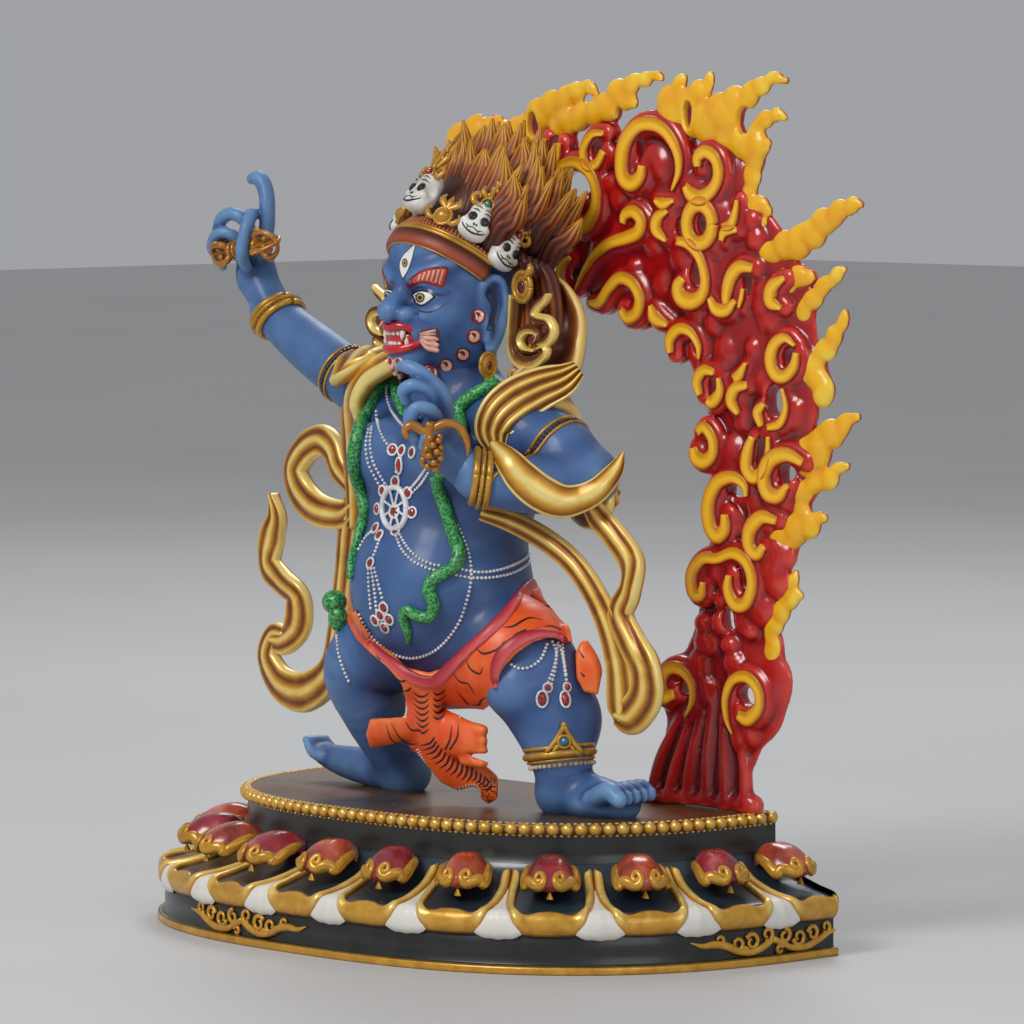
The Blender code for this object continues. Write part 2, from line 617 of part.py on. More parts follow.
def flame_holes(depth, middle_y, lift):
    """The piercings of the aureole: (centre, half width, half height)."""
    holes = [((19, 276), 6, 5), ((31, 294), 2.2, 4), ((9, 293), 2.6, 4.4), ((-5, 303), 2.4, 4.6),
             ((88, 267), 4.2, 4), ((78, 307), 2.3, 5), ((106, 305), 3.2, 5), ((83, 250), 4.0, 6),
             ((109, 244), 2.6, 5), ((82, 222), 3.2, 4.2), ((130, 218), 3.2, 3.8), ((92, 206), 2.4, 4.4),
             ((122, 204), 4.2, 6), ((117, 183), 2.6, 6.5), ((129, 177), 3.6, 5), ((102, 169), 4.2, 3),
             ((99, 122), 2.8, 4.6), ((109, 95), 5.2, 3.4), ((78, 97), 2.8, 3.8)]
    drill = bmesh.new()
    for (x, z), half_width, half_height in holes:
        outline = []
        for k in range(8):
            angle = 0.25 * math.pi * k
            outline.append((x + half_width * math.cos(angle), z + half_height * math.sin(angle)))
        add_slab(drill, outline, 4 * depth, middle_y)
    bmesh.ops.recalc_face_normals(drill, faces=drill.faces)
    lift_forms(drill, lift)
    mesh = bpy.data.meshes.new("flame_holes")
    drill.to_mesh(mesh)
    drill.free()
    cutter = bpy.data.objects.new("flame_holes", mesh)
    bpy.context.scene.collection.objects.link(cutter)
    return cutter


def make_aureole():
    middle_y = AUREOLE_Y / MM
    depth = AUREOLE_THICKNESS / MM
    bm = bmesh.new()
    trunk = [(84, 54), (86, 70), (92, 88), (97, 108), (103, 128), (108, 148), (111, 168), (112, 188),
             (112, 208), (108, 226), (98, 243), (80, 255), (60, 266), (40, 274), (22, 281)]
    widths = [26, 23, 30, 21, 21, 22, 22, 25, 28, 33, 34, 34, 30, 24, 14]
    trunk_flat = 0.5 * depth / TRUNK_HALF_WIDTH
    add_tube(bm, [(x, middle_y, z) for x, z in trunk], widths, flat=trunk_flat, per_span=4)
    foot = [(56, 48.5), (111.5, 48.5), (113, 76), (104, 90), (76, 90), (66, 78), (60, 66)]
    add_slab(bm, foot, depth, middle_y)
    for centre, radius in (((75, 93), 13), ((110, 92), 16), ((24, 262), 18), ((58, 288), 17), ((90, 282), 16),
                           ((36, 250), 17), ((125, 215), 15), ((66, 243), 14)):
        add_ball(bm, (centre[0], middle_y, centre[1]), (radius, 0.55 * depth, radius))
    flames = [((116, 110), (135, 132), 8, -2), ((118, 136), (132, 143), 9, 1),
              ((124, 150), (147, 163), 9, -2), ((128, 168), (158, 184), 8, -3),
              ((130, 184), (163, 200), 11, 3), ((132, 206), (150, 222), 12, -2),
              ((140, 218), (156, 238), 6, -3), ((122, 240), (156, 252), 11, -3),
              ((118, 254), (163, 273), 12, -3), ((104, 262), (117, 274), 8, 1),
              ((98, 282), (116, 296), 10, 0), ((92, 292), (124, 309), 9, -3),
              ((82, 298), (124, 321), 12, -3), ((74, 300), (88, 323), 10, 2),
              ((58, 298), (76, 320), 9, -2), ((40, 300), (62, 322), 10, -3),
              ((18, 296), (40, 317), 11, -2), ((4, 292), (26, 318), 11, -3),
              ((-10, 294), (6, 315), 10, -2), ((-20, 290), (-22, 308), 11, 2),
              ((-34, 292), (-38, 306), 8, 2)]
    for (foot_x, foot_z), (tip_x, tip_z), width, curl in flames:
        add_flame(bm, (foot_x, middle_y, foot_z), (tip_x, middle_y, tip_z), width, curl)
    link = [(-42, 296), (-20, 294), (0, 292), (20, 292)]
    add_tube(bm, [(x, middle_y, z) for x, z in link], [5, 9, 9, 10], flat=0.5)
    curls = [((60, 288), 15, 330, 280, 0.35), ((88, 284), 9, 200, 250, 0.5), ((88, 267), 8, 0, 330, 0.0),
             ((25, 275), 12, 120, -220, 0.4), ((34, 293), 6, 0, 330, 0.0), ((66, 262), 5, 90, 180, 0.0),
             ((82, 249), 10, 90, -260, 0.4), ((104, 246), 9, 60, 230, 0.2), ((50, 239), 9, 130, -240, 0.3),
             ((128, 241), 5, 70, 190, 0.0), ((130, 218), 7, 30, 330, 0.0), ((80, 224), 7, 190, -200, 0.0),
             ((91, 206), 6, 100, 300, 0.0), ((120, 204), 9, 200, 220, 0.0), ((90, 187), 5, 110, -250, 0.2),
             ((116, 182), 6, 170, 200, 0.0), ((128, 178), 8, 60, 330, 0.0), ((101, 164), 9, 20, 260, 0.2),
             ((118, 154), 6, 60, 220, 0.0), ((106, 134), 10, 120, -250, 0.3), ((86, 134), 7, 60, 170, 0.0),
             ((76, 93), 8, 250, -250, 0.2), ((109, 92), 10, 230, -250, 0.35)]
    for centre, radius, start, sweep, shrink in curls:
        points = curl_points(centre, radius, start, sweep, shrink)
        add_tube(bm, points, [CURL_HALF_WIDTH] * len(points), flat=0.8, sides=8, per_span=2)
    look = material("painted_red", (0.42, 0.03, 0.02), 0.3)
    lift = seat_height(bm)
    holes = flame_holes(depth, middle_y, lift)
    add_sole_cutter(cast("flame_aureole", bm, lift, AUREOLE_VOXEL, 1, AUREOLE_FACES, look, holes))


def main():
    clear_scene()
    make_pedestal()
    make_figure()
    make_aureole()


main()
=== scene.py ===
"""Painted Vajrapani statue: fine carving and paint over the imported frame.

Lengths are in millimetres until a mesh is made. The figure faces -Y and its
left side is +X. The pedestal's underside is at z = 0.
"""
import math

import bpy
import numpy as np
from mathutils import Matrix, Vector
from mathutils.bvhtree import BVHTree


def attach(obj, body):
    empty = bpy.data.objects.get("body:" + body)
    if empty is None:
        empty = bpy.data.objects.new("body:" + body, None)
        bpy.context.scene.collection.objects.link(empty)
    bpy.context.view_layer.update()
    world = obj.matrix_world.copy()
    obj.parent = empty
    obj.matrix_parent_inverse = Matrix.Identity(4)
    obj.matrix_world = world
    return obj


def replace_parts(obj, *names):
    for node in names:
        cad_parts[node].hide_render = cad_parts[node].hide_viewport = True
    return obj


MM = 0.001
UP = np.array([0.0, 0.0, 1.0])

FINE = 1.4

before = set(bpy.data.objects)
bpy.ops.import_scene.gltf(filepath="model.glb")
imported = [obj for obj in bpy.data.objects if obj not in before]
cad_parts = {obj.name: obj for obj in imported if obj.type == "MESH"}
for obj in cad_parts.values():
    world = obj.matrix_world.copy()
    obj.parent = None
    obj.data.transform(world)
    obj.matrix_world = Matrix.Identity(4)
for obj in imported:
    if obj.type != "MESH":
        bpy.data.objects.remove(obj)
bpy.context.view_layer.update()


# Curves

def smooth_path(points, extra, per_span):
    """Catmull-Rom samples through points, with extra columns of values carried along."""
    rows = np.hstack([np.array(points, dtype=float), np.array(extra, dtype=float).reshape(len(points), -1)])
    if len(rows) < 2:
        return rows
    padded = np.vstack([2 * rows[0] - rows[1], rows, 2 * rows[-1] - rows[-2]])
    s = (np.arange(per_span) / per_span)[:, None]
    spans = []
    for p0, p1, p2, p3 in zip(padded, padded[1:], padded[2:], padded[3:]):
        spans.append(0.5 * (2 * p1 + (p2 - p0) * s + (2 * p0 - 5 * p1 + 4 * p2 - p3) * s * s
                            + (3 * p1 - p0 - 3 * p2 + p3) * s ** 3))
    return np.vstack(spans + [rows[-1:]])


def flat_path(rows, extra, per_span):
    """Samples through points of a plane; the third coordinate is zero."""
    return smooth_path([(x, y, 0) for x, y in rows], extra, per_span)


def unit(rows):
    rows = np.asarray(rows, dtype=float)
    return rows / np.maximum(np.linalg.norm(rows, axis=-1, keepdims=True), 1e-9)


def evenly(path, step):
    """The path sampled again about every step millimetres along its first three columns."""
    run = np.concatenate([[0.0], np.cumsum(np.linalg.norm(np.diff(path[:, :3], axis=0), axis=1))])
    count = max(2, int(round(run[-1] / step)) + 1)
    places = np.linspace(0.0, run[-1], count)
    return np.array([np.interp(places, run, column) for column in path.T]).T


# Meshes

def make(name, verts, faces, look, values=None, smooth=True):
    """A Blender object from arrays: faces are index arrays, values are per-point numbers for the paint."""
    blocks = [np.asarray(block) for block in faces if len(block)]
    loops = np.concatenate([block.ravel() for block in blocks]).astype(np.int32)
    sizes = np.concatenate([np.full(len(block), block.shape[1]) for block in blocks])
    starts = np.concatenate([[0], np.cumsum(sizes)[:-1]]).astype(np.int32)
    mesh = bpy.data.meshes.new(name)
    mesh.vertices.add(len(verts))
    mesh.vertices.foreach_set("co", (np.asarray(verts, dtype=np.float32) * MM).ravel())
    mesh.loops.add(len(loops))
    mesh.loops.foreach_set("vertex_index", loops)
    mesh.polygons.add(len(sizes))
    mesh.polygons.foreach_set("loop_start", starts)
    mesh.update(calc_edges=True)
    mesh.validate()
    for key, numbers in (values or {}).items():
        layer = mesh.attributes.new(key, "FLOAT", "POINT")
        layer.data.foreach_set("value", np.asarray(numbers, dtype=np.float32))
    mesh.materials.append(look)
    if smooth:
        mesh.shade_smooth()
    made = bpy.data.objects.new(name, mesh)
    bpy.context.scene.collection.objects.link(made)
    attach(made, "root")
    return made


def relief(verts, quads, rounds):
    """How proud (+) or hollow (-) each point is of its smoothed surroundings, in millimetres."""
    a = np.concatenate([quads[:, k] for k in range(4)])
    b = np.concatenate([quads[:, (k + 1) % 4] for k in range(4)])
    count = len(verts)
    number = np.maximum(np.bincount(a, minlength=count), 1)[:, None]
    flow = verts.copy()
    for _ in range(rounds):
        flow = np.stack([np.bincount(a, weights=flow[b, k], minlength=count) for k in range(3)], 1) / number
    across = np.cross(verts[quads[:, 2]] - verts[quads[:, 0]], verts[quads[:, 3]] - verts[quads[:, 1]])
    normal = np.stack([np.bincount(quads.ravel(), weights=np.repeat(across[:, k], 4), minlength=count)
                       for k in range(3)], 1)
    return ((verts - flow) * unit(normal)).sum(1)


class Batch:
    """Many small forms gathered into one mesh."""

    def __init__(self):
        self.verts = []
        self.quads = []
        self.tris = []
        self.marks = []
        self.grooves = []
        self.count = 0

    def add(self, verts, quads=(), tris=(), mark=0.0, groove=0.0):
        verts = np.asarray(verts, dtype=float)
        for block, into in ((quads, self.quads), (tris, self.tris)):
            if len(block):
                into.append(np.asarray(block) + self.count)
        self.verts.append(verts)
        self.marks.append(np.broadcast_to(mark, len(verts)))
        self.grooves.append(np.broadcast_to(groove, len(verts)))
        self.count += len(verts)

    def ball(self, centre, radii, turn=None, cuts=4, mark=0.0):
        verts, quads = cube_ball(cuts)
        verts = verts * radii
        if turn is not None:
            verts = verts @ np.array(turn).T
        self.add(verts + centre, quads, mark=mark)

    def tube(self, points, radii, flat=1.0, across=(0.0, 1.0, 0.0), per_span=6, sides=10, mark=0.0):
        self.add(*swept(points, radii, flat, across, per_span, sides), mark=mark)

    def lock(self, points, radii, ridges=7, depth=0.12, flat=1.0, across=(0.0, 1.0, 0.0), per_span=6,
             twist=0.0):
        """A tapering lock with ridges along it; mark runs 0 to 1 from root to tip."""
        path = smooth_path(points, radii, per_span)
        side, lift = frames(path, across)
        sides = ridges * 4
        share = np.linspace(0, 1, len(path))[:, None]
        angle = (2 * math.pi * np.arange(sides) / sides)[None, :] + twist * share
        crest = np.broadcast_to(np.cos(ridges * (angle - twist * share)), (len(path), sides))
        width = (np.maximum(path[:, 3:4], 0.08) * (1 + depth * crest))[..., None]
        verts = path[:, None, :3] + width * (side[:, None] * np.cos(angle)[..., None]
                                             + lift[:, None] * np.sin(angle)[..., None] * flat)
        quads, tris = ring_faces(len(path), sides)
        self.add(verts.reshape(-1, 3), quads, tris, mark=np.repeat(share, sides), groove=crest.ravel())

    def ribbon(self, points, widths, thick=2.0, across=(0.0, 1.0, 0.0), folds=2, depth=0.2, per_span=8,
               curl=0.0):
        """Carved cloth folded along its length; mark runs -1 to 1 across it, groove is the folds' height."""
        count = len(points)
        extra = np.hstack([np.reshape(widths, (count, 1)),
                           np.broadcast_to(np.reshape(thick, (-1, 1)), (count, 1)),
                           np.broadcast_to(np.array(across, dtype=float).reshape(-1, 3), (count, 3))])
        path = smooth_path(points, extra, per_span)
        side, lift = frames(path, path[:, 5:8])
        front = np.sin(np.linspace(math.pi / 2, -math.pi / 2, 8 * max(folds, 2)))
        back = np.sin(np.linspace(-math.pi / 2, math.pi / 2, 8))[1:-1]
        u = np.concatenate([front, back])
        face = np.concatenate([np.ones(len(front)), -np.ones(len(back))])
        fold = np.cos(math.pi * folds * u)
        swell = 1 + np.where(face > 0, depth, 0.25 * depth) * fold
        height = np.sqrt(np.maximum(1 - np.abs(u) ** 5, 0)) * face * swell + curl * (u * u - 0.4)
        verts = (path[:, None, :3] + side[:, None] * (path[:, 3:4] * u)[..., None]
                 + lift[:, None] * (path[:, 4:5] * height)[..., None])
        quads, tris = ring_faces(len(path), len(u))
        groove = np.where(np.abs(u) > 0.86, 1.2, fold)
        self.add(verts.reshape(-1, 3), quads, tris, mark=np.tile(u * np.where(face > 0, 1, 0.6), len(path)),
                 groove=np.tile(np.where(face > 0, groove, -0.4), len(path)))

    def make(self, name, look, smooth=True):
        blocks = [np.vstack(block) for block in (self.quads, self.tris) if block]
        values = {"mark": np.concatenate(self.marks), "groove": np.concatenate(self.grooves)}
        return make(name, np.vstack(self.verts), blocks, look, values, smooth)


def cube_ball(cuts):
    """A unit ball of quads, from a cube cut this many times along each edge."""
    line = np.tan(np.linspace(-1, 1, cuts + 1) * math.pi / 4)
    grid_a, grid_b = [g.ravel() for g in np.meshgrid(line, line, indexing="ij")]
    verts, quads = [], []
    step = cuts + 1
    corner = np.array([[i * step + j for j in range(cuts)] for i in range(cuts)]).ravel()
    for axis in range(3):
        for sign in (-1, 1):
            face = np.zeros((len(grid_a), 3))
            face[:, axis] = sign
            face[:, (axis + 1) % 3] = grid_a * sign
            face[:, (axis + 2) % 3] = grid_b
            base = len(verts) * len(grid_a)
            verts.append(face)
            quads.append(np.stack([corner, corner + step, corner + step + 1, corner + 1], 1) + base)
    return unit(np.vstack(verts)), np.vstack(quads)


def frames(path, across):
    """Side and lift directions along a path; across is the thin direction, one or one per sample."""
    ahead = unit(np.gradient(path[:, :3], axis=0))
    thin = np.broadcast_to(unit(across), ahead.shape)
    side = np.cross(ahead, thin)
    weak = np.linalg.norm(side, axis=1) < 0.05
    side[weak] = np.cross(ahead[weak], (0.31, 0.2, 0.93))
    side = unit(side)
    return side, unit(np.cross(side, ahead))


def square_to(axis):
    """Two directions square to an axis and to each other."""
    axis = unit(axis)
    first = unit(np.cross(axis, (0.0, 0.0, 1.0) if abs(axis[2]) < 0.9 else (1.0, 0.0, 0.0)))
    return first, np.cross(axis, first)


def circle(centre, first, second, count, radius, tall=None):
    """Points round a closed ring, or an oval one where tall differs from the radius."""
    tall = radius if tall is None else tall
    return [centre + first * (radius * math.cos(t)) + second * (tall * math.sin(t))
            for t in np.linspace(0, 2 * math.pi, count)]


def ring_faces(rings, sides):
    """Quads between rings of points, and fans that close both ends."""
    base = np.arange(rings - 1)[:, None] * sides
    k = np.arange(sides)
    after = (k + 1) % sides
    quads = np.stack([base + k, base + after, base + sides + after, base + sides + k], -1).reshape(-1, 4)
    last = (rings - 1) * sides
    near = np.stack([k[1:-1] * 0, after[1:-1], k[1:-1]], 1)
    far = np.stack([k[1:-1] * 0, k[1:-1], after[1:-1]], 1) + last
    return quads, np.vstack([near, far])


def swept(points, radii, flat, across, per_span, sides):
    """A tube of oval section: verts, quads, end triangles."""
    path = smooth_path(points, radii, per_span)
    side, lift = frames(path, across)
    width = np.maximum(path[:, 3], 0.05)[:, None, None]
    angle = (2 * math.pi * np.arange(sides) / sides)[None, :, None]
    verts = path[:, None, :3] + width * (side[:, None] * np.cos(angle) + lift[:, None] * np.sin(angle) * flat)
    quads, tris = ring_faces(len(path), sides)
    return verts.reshape(-1, 3), quads, tris


# Clay: a distance field that forms are blended into

def soft_min(a, b, soft):
    if soft <= 0:
        return np.minimum(a, b)
    near = np.maximum(soft - np.abs(a - b), 0.0) / soft
    return np.minimum(a, b) - near * near * (0.25 * soft)


class Clay:
    """Forms blended on a grid between two corners."""

    FAR = 9.0

    def __init__(self, low, high, cell):
        self.cell = cell * FINE
        self.low = np.array(low, dtype=float)
        steps = np.ceil((np.array(high) - self.low) / self.cell).astype(int) + 1
        self.axes = [self.low[k] + self.cell * np.arange(steps[k]) for k in range(3)]
        self.field = np.full(steps, self.FAR, dtype=np.float32)

    def window(self, low, high):
        cuts, rows = [], []
        for k in range(3):
            first = max(0, int((low[k] - self.low[k]) / self.cell))
            last = min(len(self.axes[k]), int(math.ceil((high[k] - self.low[k]) / self.cell)) + 1)
            if last - first < 2:
                return None, None
            cuts.append(slice(first, last))
            shape = [1, 1, 1]
            shape[k] = -1
            rows.append(self.axes[k][first:last].reshape(shape).astype(np.float32))
        return tuple(cuts), rows

    def press(self, cuts, distance, soft, carve):
        old = self.field[cuts]
        if carve:
            self.field[cuts] = -soft_min(-old, distance, soft)
        else:
            self.field[cuts] = soft_min(old, distance, soft)

    def ball(self, centre, radii, turn=None, soft=2.0, carve=False):
        """An ellipsoid; turn is a rotation matrix."""
        reach = max(radii) + soft + 2 * self.cell
        centre = np.array(centre, dtype=float)
        cuts, rows = self.window(centre - reach, centre + reach)
        if cuts is None:
            return
        offset = [row - centre[k] for k, row in enumerate(rows)]
        spin = np.eye(3) if turn is None else np.array(turn)
        local = [sum(offset[k] * spin[k, axis] for k in range(3)) for axis in range(3)]
        first = np.sqrt(sum((local[k] / radii[k]) ** 2 for k in range(3))) + 1e-6
        second = np.sqrt(sum((local[k] / radii[k] ** 2) ** 2 for k in range(3))) + 1e-6
        self.press(cuts, first * (first - 1) / second, soft, carve)

    def tube(self, points, radii, flat=1.0, across=(0.0, 1.0, 0.0), soft=2.0, carve=False, per_span=5):
        """A tapering tube; flat is its thickness along across, as a share of its width."""
        path = smooth_path(points, radii, per_span)
        path[:, 3] = np.maximum(path[:, 3], 0.15)
        margin = soft + 2 * self.cell
        reach = path[:, 3].max() + margin
        cuts = self.window((path[:, :3] - reach).min(0), (path[:, :3] + reach).max(0))[0]
        if cuts is None:
            return
        thin = unit(across)
        shape = tuple(c.stop - c.start for c in cuts)
        distance = np.full(shape, self.FAR, dtype=np.float32)
        starts = np.array([c.start for c in cuts])
        for a, b in zip(path, path[1:]):
            span = max(a[3], b[3]) + margin
            part, part_rows = self.window(np.minimum(a, b)[:3] - span, np.maximum(a, b)[:3] + span)
            if part is None:
                continue
            local = tuple(slice(c.start - s, c.stop - s) for c, s in zip(part, starts))
            offset = [row - a[k] for k, row in enumerate(part_rows)]
            run = b[:3] - a[:3]
            if flat != 1.0:
                lean = sum(offset[k] * thin[k] for k in range(3)) * (1 / flat - 1)
                offset = [offset[k] + lean * thin[k] for k in range(3)]
                run = run + thin * (run @ thin) * (1 / flat - 1)
            share = np.clip(sum(offset[k] * run[k] for k in range(3)) / max(run @ run, 1e-9), 0, 1)
            away = [offset[k] - share * run[k] for k in range(3)]
            length = np.sqrt(sum(v * v for v in away)) + 1e-6
            gap = length - (a[3] + (b[3] - a[3]) * share)
            if flat != 1.0:
                tilt = sum(away[k] * thin[k] for k in range(3)) / length
                gap = gap / np.sqrt(1 + tilt * tilt * (1 / flat ** 2 - 1))
            distance[local] = np.minimum(distance[local], gap)
        self.press(cuts, distance, soft, carve)

    def surface(self):
        """Verts and quads of the zero surface, one point in each cell it passes through."""
        field = self.field
        inside = field < 0
        nx, ny, nz = field.shape
        corner = [(i, j, k) for i in (0, 1) for j in (0, 1) for k in (0, 1)]

        def part(grid, c):
            return grid[c[0]:nx - 1 + c[0], c[1]:ny - 1 + c[1], c[2]:nz - 1 + c[2]]

        total = sum(part(inside, c).astype(np.int8) for c in corner)
        mixed = (total > 0) & (total < 8)
        cells = np.argwhere(mixed)
        index = np.full(mixed.shape, -1, dtype=np.int64)
        index[mixed] = np.arange(len(cells))
        place = np.zeros((len(cells), 3))
        hits = np.zeros(len(cells))
        values = {c: field[cells[:, 0] + c[0], cells[:, 1] + c[1], cells[:, 2] + c[2]] for c in corner}
        for axis in range(3):
            for c in corner:
                if c[axis]:
                    continue
                end = list(c)
                end[axis] = 1
                a, b = values[c], values[tuple(end)]
                cross = (a < 0) != (b < 0)
                share = np.where(cross, a / np.where(cross, a - b, 1), 0)
                for k in range(3):
                    place[:, k] += cross * (share if k == axis else c[k])
                hits += cross
        verts = self.low + self.cell * (cells + place / hits[:, None])
        quads = []
        for axis in range(3):
            u, v = (axis + 1) % 3, (axis + 2) % 3
            low = [slice(None)] * 3
            high = [slice(None)] * 3
            low[axis], high[axis] = slice(0, -1), slice(1, None)
            for other in (u, v):
                low[other] = high[other] = slice(1, -1)
            here, there = inside[tuple(low)], inside[tuple(high)]
            for sign in (True, False):
                at = np.argwhere((here != there) & (here == sign))
                at[:, u] += 1
                at[:, v] += 1
                four = []
                for du, dv in ((0, 0), (1, 0), (1, 1), (0, 1)):
                    spot = at.copy()
                    spot[:, u] -= du
                    spot[:, v] -= dv
                    four.append(index[spot[:, 0], spot[:, 1], spot[:, 2]])
                four = np.stack(four, 1)
                quads.append(four if sign else four[:, ::-1])
        return verts, np.vstack(quads)

    def make(self, name, look, rounds=10, values=None):
        verts, quads = self.surface()
        made = {"relief": relief(verts, quads, rounds)}
        for key, formula in (values or {}).items():
            made[key] = formula(verts)
        return make(name, verts, [quads], look, made)


# Looks

class Look:
    """A procedural material, built node by node."""

    def __init__(self, name, rough=0.4, metallic=0.0, coat=0.0):
        self.material = bpy.data.materials.new(name)
        self.material.use_nodes = True
        self.tree = self.material.node_tree
        self.shader = self.tree.nodes["Principled BSDF"]
        self.shader.inputs["Roughness"].default_value = rough
        self.shader.inputs["Metallic"].default_value = metallic
        self.shader.inputs["Coat Weight"].default_value = coat
        self.shader.inputs["Coat Roughness"].default_value = 0.15

    def node(self, kind, inputs=None, **settings):
        made = self.tree.nodes.new(kind)
        for key, value in settings.items():
            setattr(made, key, value)
        for key, value in (inputs or {}).items():
            if isinstance(value, bpy.types.NodeSocket):
                self.tree.links.new(value, made.inputs[key])
            else:
                made.inputs[key].default_value = value
        return made

    def value(self, name):
        return self.node("ShaderNodeAttribute", attribute_name=name).outputs["Fac"]

    def place(self):
        return self.node("ShaderNodeTexCoord").outputs["Object"]

    def noise(self, scale, detail=3.0, distortion=0.0, stretch=None):
        place = self.place()
        if stretch:
            place = self.node("ShaderNodeMapping", {"Vector": place, "Scale": stretch}).outputs["Vector"]
        inputs = {"Vector": place, "Scale": scale, "Detail": detail, "Distortion": distortion}
        return self.node("ShaderNodeTexNoise", inputs).outputs["Fac"]

    def math(self, operation, a, b=0.0):
        return self.node("ShaderNodeMath", {0: a, 1: b}, operation=operation).outputs[0]

    def uneven(self, amount, *noise):
        """A noise centred on zero, from -amount / 2 to amount / 2."""
        return self.math("MULTIPLY", self.math("SUBTRACT", self.noise(*noise), 0.5), amount)

    def ramp(self, fac, stops):
        made = self.node("ShaderNodeValToRGB", {"Fac": fac})
        bar = made.color_ramp
        while len(bar.elements) < len(stops):
            bar.elements.new(0.5)
        for element, (place, colour) in zip(bar.elements, stops):
            element.position = place
            element.color = (*colour, 1.0)
        return made.outputs["Color"]

    def mix(self, fac, a, b, blend="MIX"):
        made = self.node("ShaderNodeMix", data_type="RGBA", blend_type=blend)
        for key, value in ((0, fac), (6, a), (7, b)):
            if isinstance(value, bpy.types.NodeSocket):
                self.tree.links.new(value, made.inputs[key])
            else:
                made.inputs[key].default_value = (*value, 1.0) if isinstance(value, tuple) else value
        return made.outputs[2]

    def span(self, value, low, high):
        """value mapped so that low gives 0 and high gives 1, clamped."""
        inputs = {"Value": value, "From Min": low, "From Max": high}
        return self.node("ShaderNodeMapRange", inputs).outputs["Result"]

    def colour(self, socket):
        self.tree.links.new(socket, self.shader.inputs["Base Color"])

    def rough(self, socket):
        self.tree.links.new(socket, self.shader.inputs["Roughness"])

    def bump(self, height, strength, distance):
        made = self.node("ShaderNodeBump", {"Height": height, "Strength": strength, "Distance": distance})
        self.tree.links.new(made.outputs["Normal"], self.shader.inputs["Normal"])


def hand_painted(name, deep, base, light, hollow, proud, rough=0.42, coat=0.0, grain=90.0, key="relief"):
    """Paint with painted shade in the hollows and painted highlight on what stands proud, over uneven
    strokes.
    """
    look = Look(name, rough, coat=coat)
    # deep is the painted shade colour where the key value is low (hollows), light the painted highlight
    # colour where it is high
    shade_and_highlight = look.span(look.value(key), hollow, proud)
    shade = look.math("ADD", shade_and_highlight, look.uneven(0.35, grain, 4.0, 0.4))
    look.colour(look.ramp(shade, [(0.12, deep), (0.5, base), (0.92, light)]))
    look.rough(look.span(look.noise(grain * 2.5), -1.2, 2.4 * rough / 0.42))
    look.bump(look.noise(grain * 6, 2.0), 0.08, 0.0004)
    return look.material


def flat_paint(name, dark, base, rough=0.4, coat=0.0, grain=120.0):
    """Paint of one colour that varies slightly with the brush."""
    look = Look(name, rough, coat=coat)
    look.colour(look.ramp(look.noise(grain, 3.0), [(0.3, dark), (0.6, base)]))
    look.bump(look.noise(grain * 5, 2.0), 0.05, 0.0003)
    return look.material


# The photo's viewpoint: painted marks are drawn on its picture plane, 1024 units wide,
# and laid on the surface

VIEW_AZIMUTH = math.radians(46.0)
VIEW_RISE = math.radians(4.08)
VIEW_BACK = Vector((math.sin(VIEW_AZIMUTH) * math.cos(VIEW_RISE),
                    -math.cos(VIEW_AZIMUTH) * math.cos(VIEW_RISE), math.sin(VIEW_RISE)))
VIEW_RIGHT = Vector((math.cos(VIEW_AZIMUTH), math.sin(VIEW_AZIMUTH), 0.0))
VIEW_UP = VIEW_BACK.cross(VIEW_RIGHT)
VIEW_TURN = Matrix((VIEW_RIGHT, VIEW_UP, VIEW_BACK)).transposed()
VIEW_DISTANCE = 2400.0
VIEW_FOCUS = 6300.0
VIEW_CENTRE = 512
EYE = Vector((-13.6, 55.9, 155.5)) + VIEW_BACK * VIEW_DISTANCE

# Enlargements that places were read on: left and top edge on the picture plane, and scale
HEAD_CROP = (340, 180, 6.03)
TORSO_CROP = (330, 380, 5.228)
LEGS_CROP = (290, 570, 4.126)
HIPS_CROP = (250, 560, 3.564)


def sight(px, py):
    """Direction from the eye through a point of the picture plane."""
    right, down = (px - VIEW_CENTRE) / VIEW_FOCUS, (py - VIEW_CENTRE) / VIEW_FOCUS
    return (VIEW_RIGHT * right - VIEW_UP * down - VIEW_BACK).normalized()


def uncropped(crop, rows):
    """Rows of x and y read on an enlargement, brought to the picture plane; what else a row holds stays."""
    left, top, scale = crop
    return [(left + x / scale, top + y / scale, *rest) for x, y, *rest in rows]


# Pedestal: its edge is followed from the back corner on the +X side round the front

PLATE_HALF_WIDTH = 113.9
PLATE_HALF_DEPTH = 101.7
PLAN_POWER = 2.6
PLAN_CENTRE_Y = 61.4
BACK_Y = 70.0
PLATE_TOP = 50.45
STRAIGHT = BACK_Y - PLAN_CENTRE_Y
PETALS = 13
BEAD_SPACING = 6.0
COVE = np.array([(-2, 39.5), (-1.6, 37), (0.2, 33.5), (3.5, 30.2), (8.5, 27.2), (14.5, 25), (20, 23.4),
                 (25, 22.3), (27.2, 21.6), (28.5, 20), (28.9, 17.8), (28.8, 15.4), (28.2, 13.8),
                 (27.3, 13.3)])


def plan(angle, grow):
    """Plan point of the rounded front at an angle, grown outward."""
    power = 2 / PLAN_POWER
    x = (PLATE_HALF_WIDTH + grow) * np.sign(np.cos(angle)) * np.abs(np.cos(angle)) ** power
    return x, PLAN_CENTRE_Y - (PLATE_HALF_DEPTH + grow) * np.abs(np.sin(angle)) ** power


EDGE_ANGLES = np.linspace(0, math.pi, 3001)
EDGE_RUN = np.concatenate([[0], np.cumsum(np.hypot(*np.diff(np.array(plan(EDGE_ANGLES, 18.0)), axis=1)))])
EDGE_LENGTH = EDGE_RUN[-1] + 2 * STRAIGHT
PETAL_PITCH = (EDGE_LENGTH - 18.4) / (PETALS - 1)
PETAL_CENTRES = 9.2 + PETAL_PITCH * np.arange(PETALS)


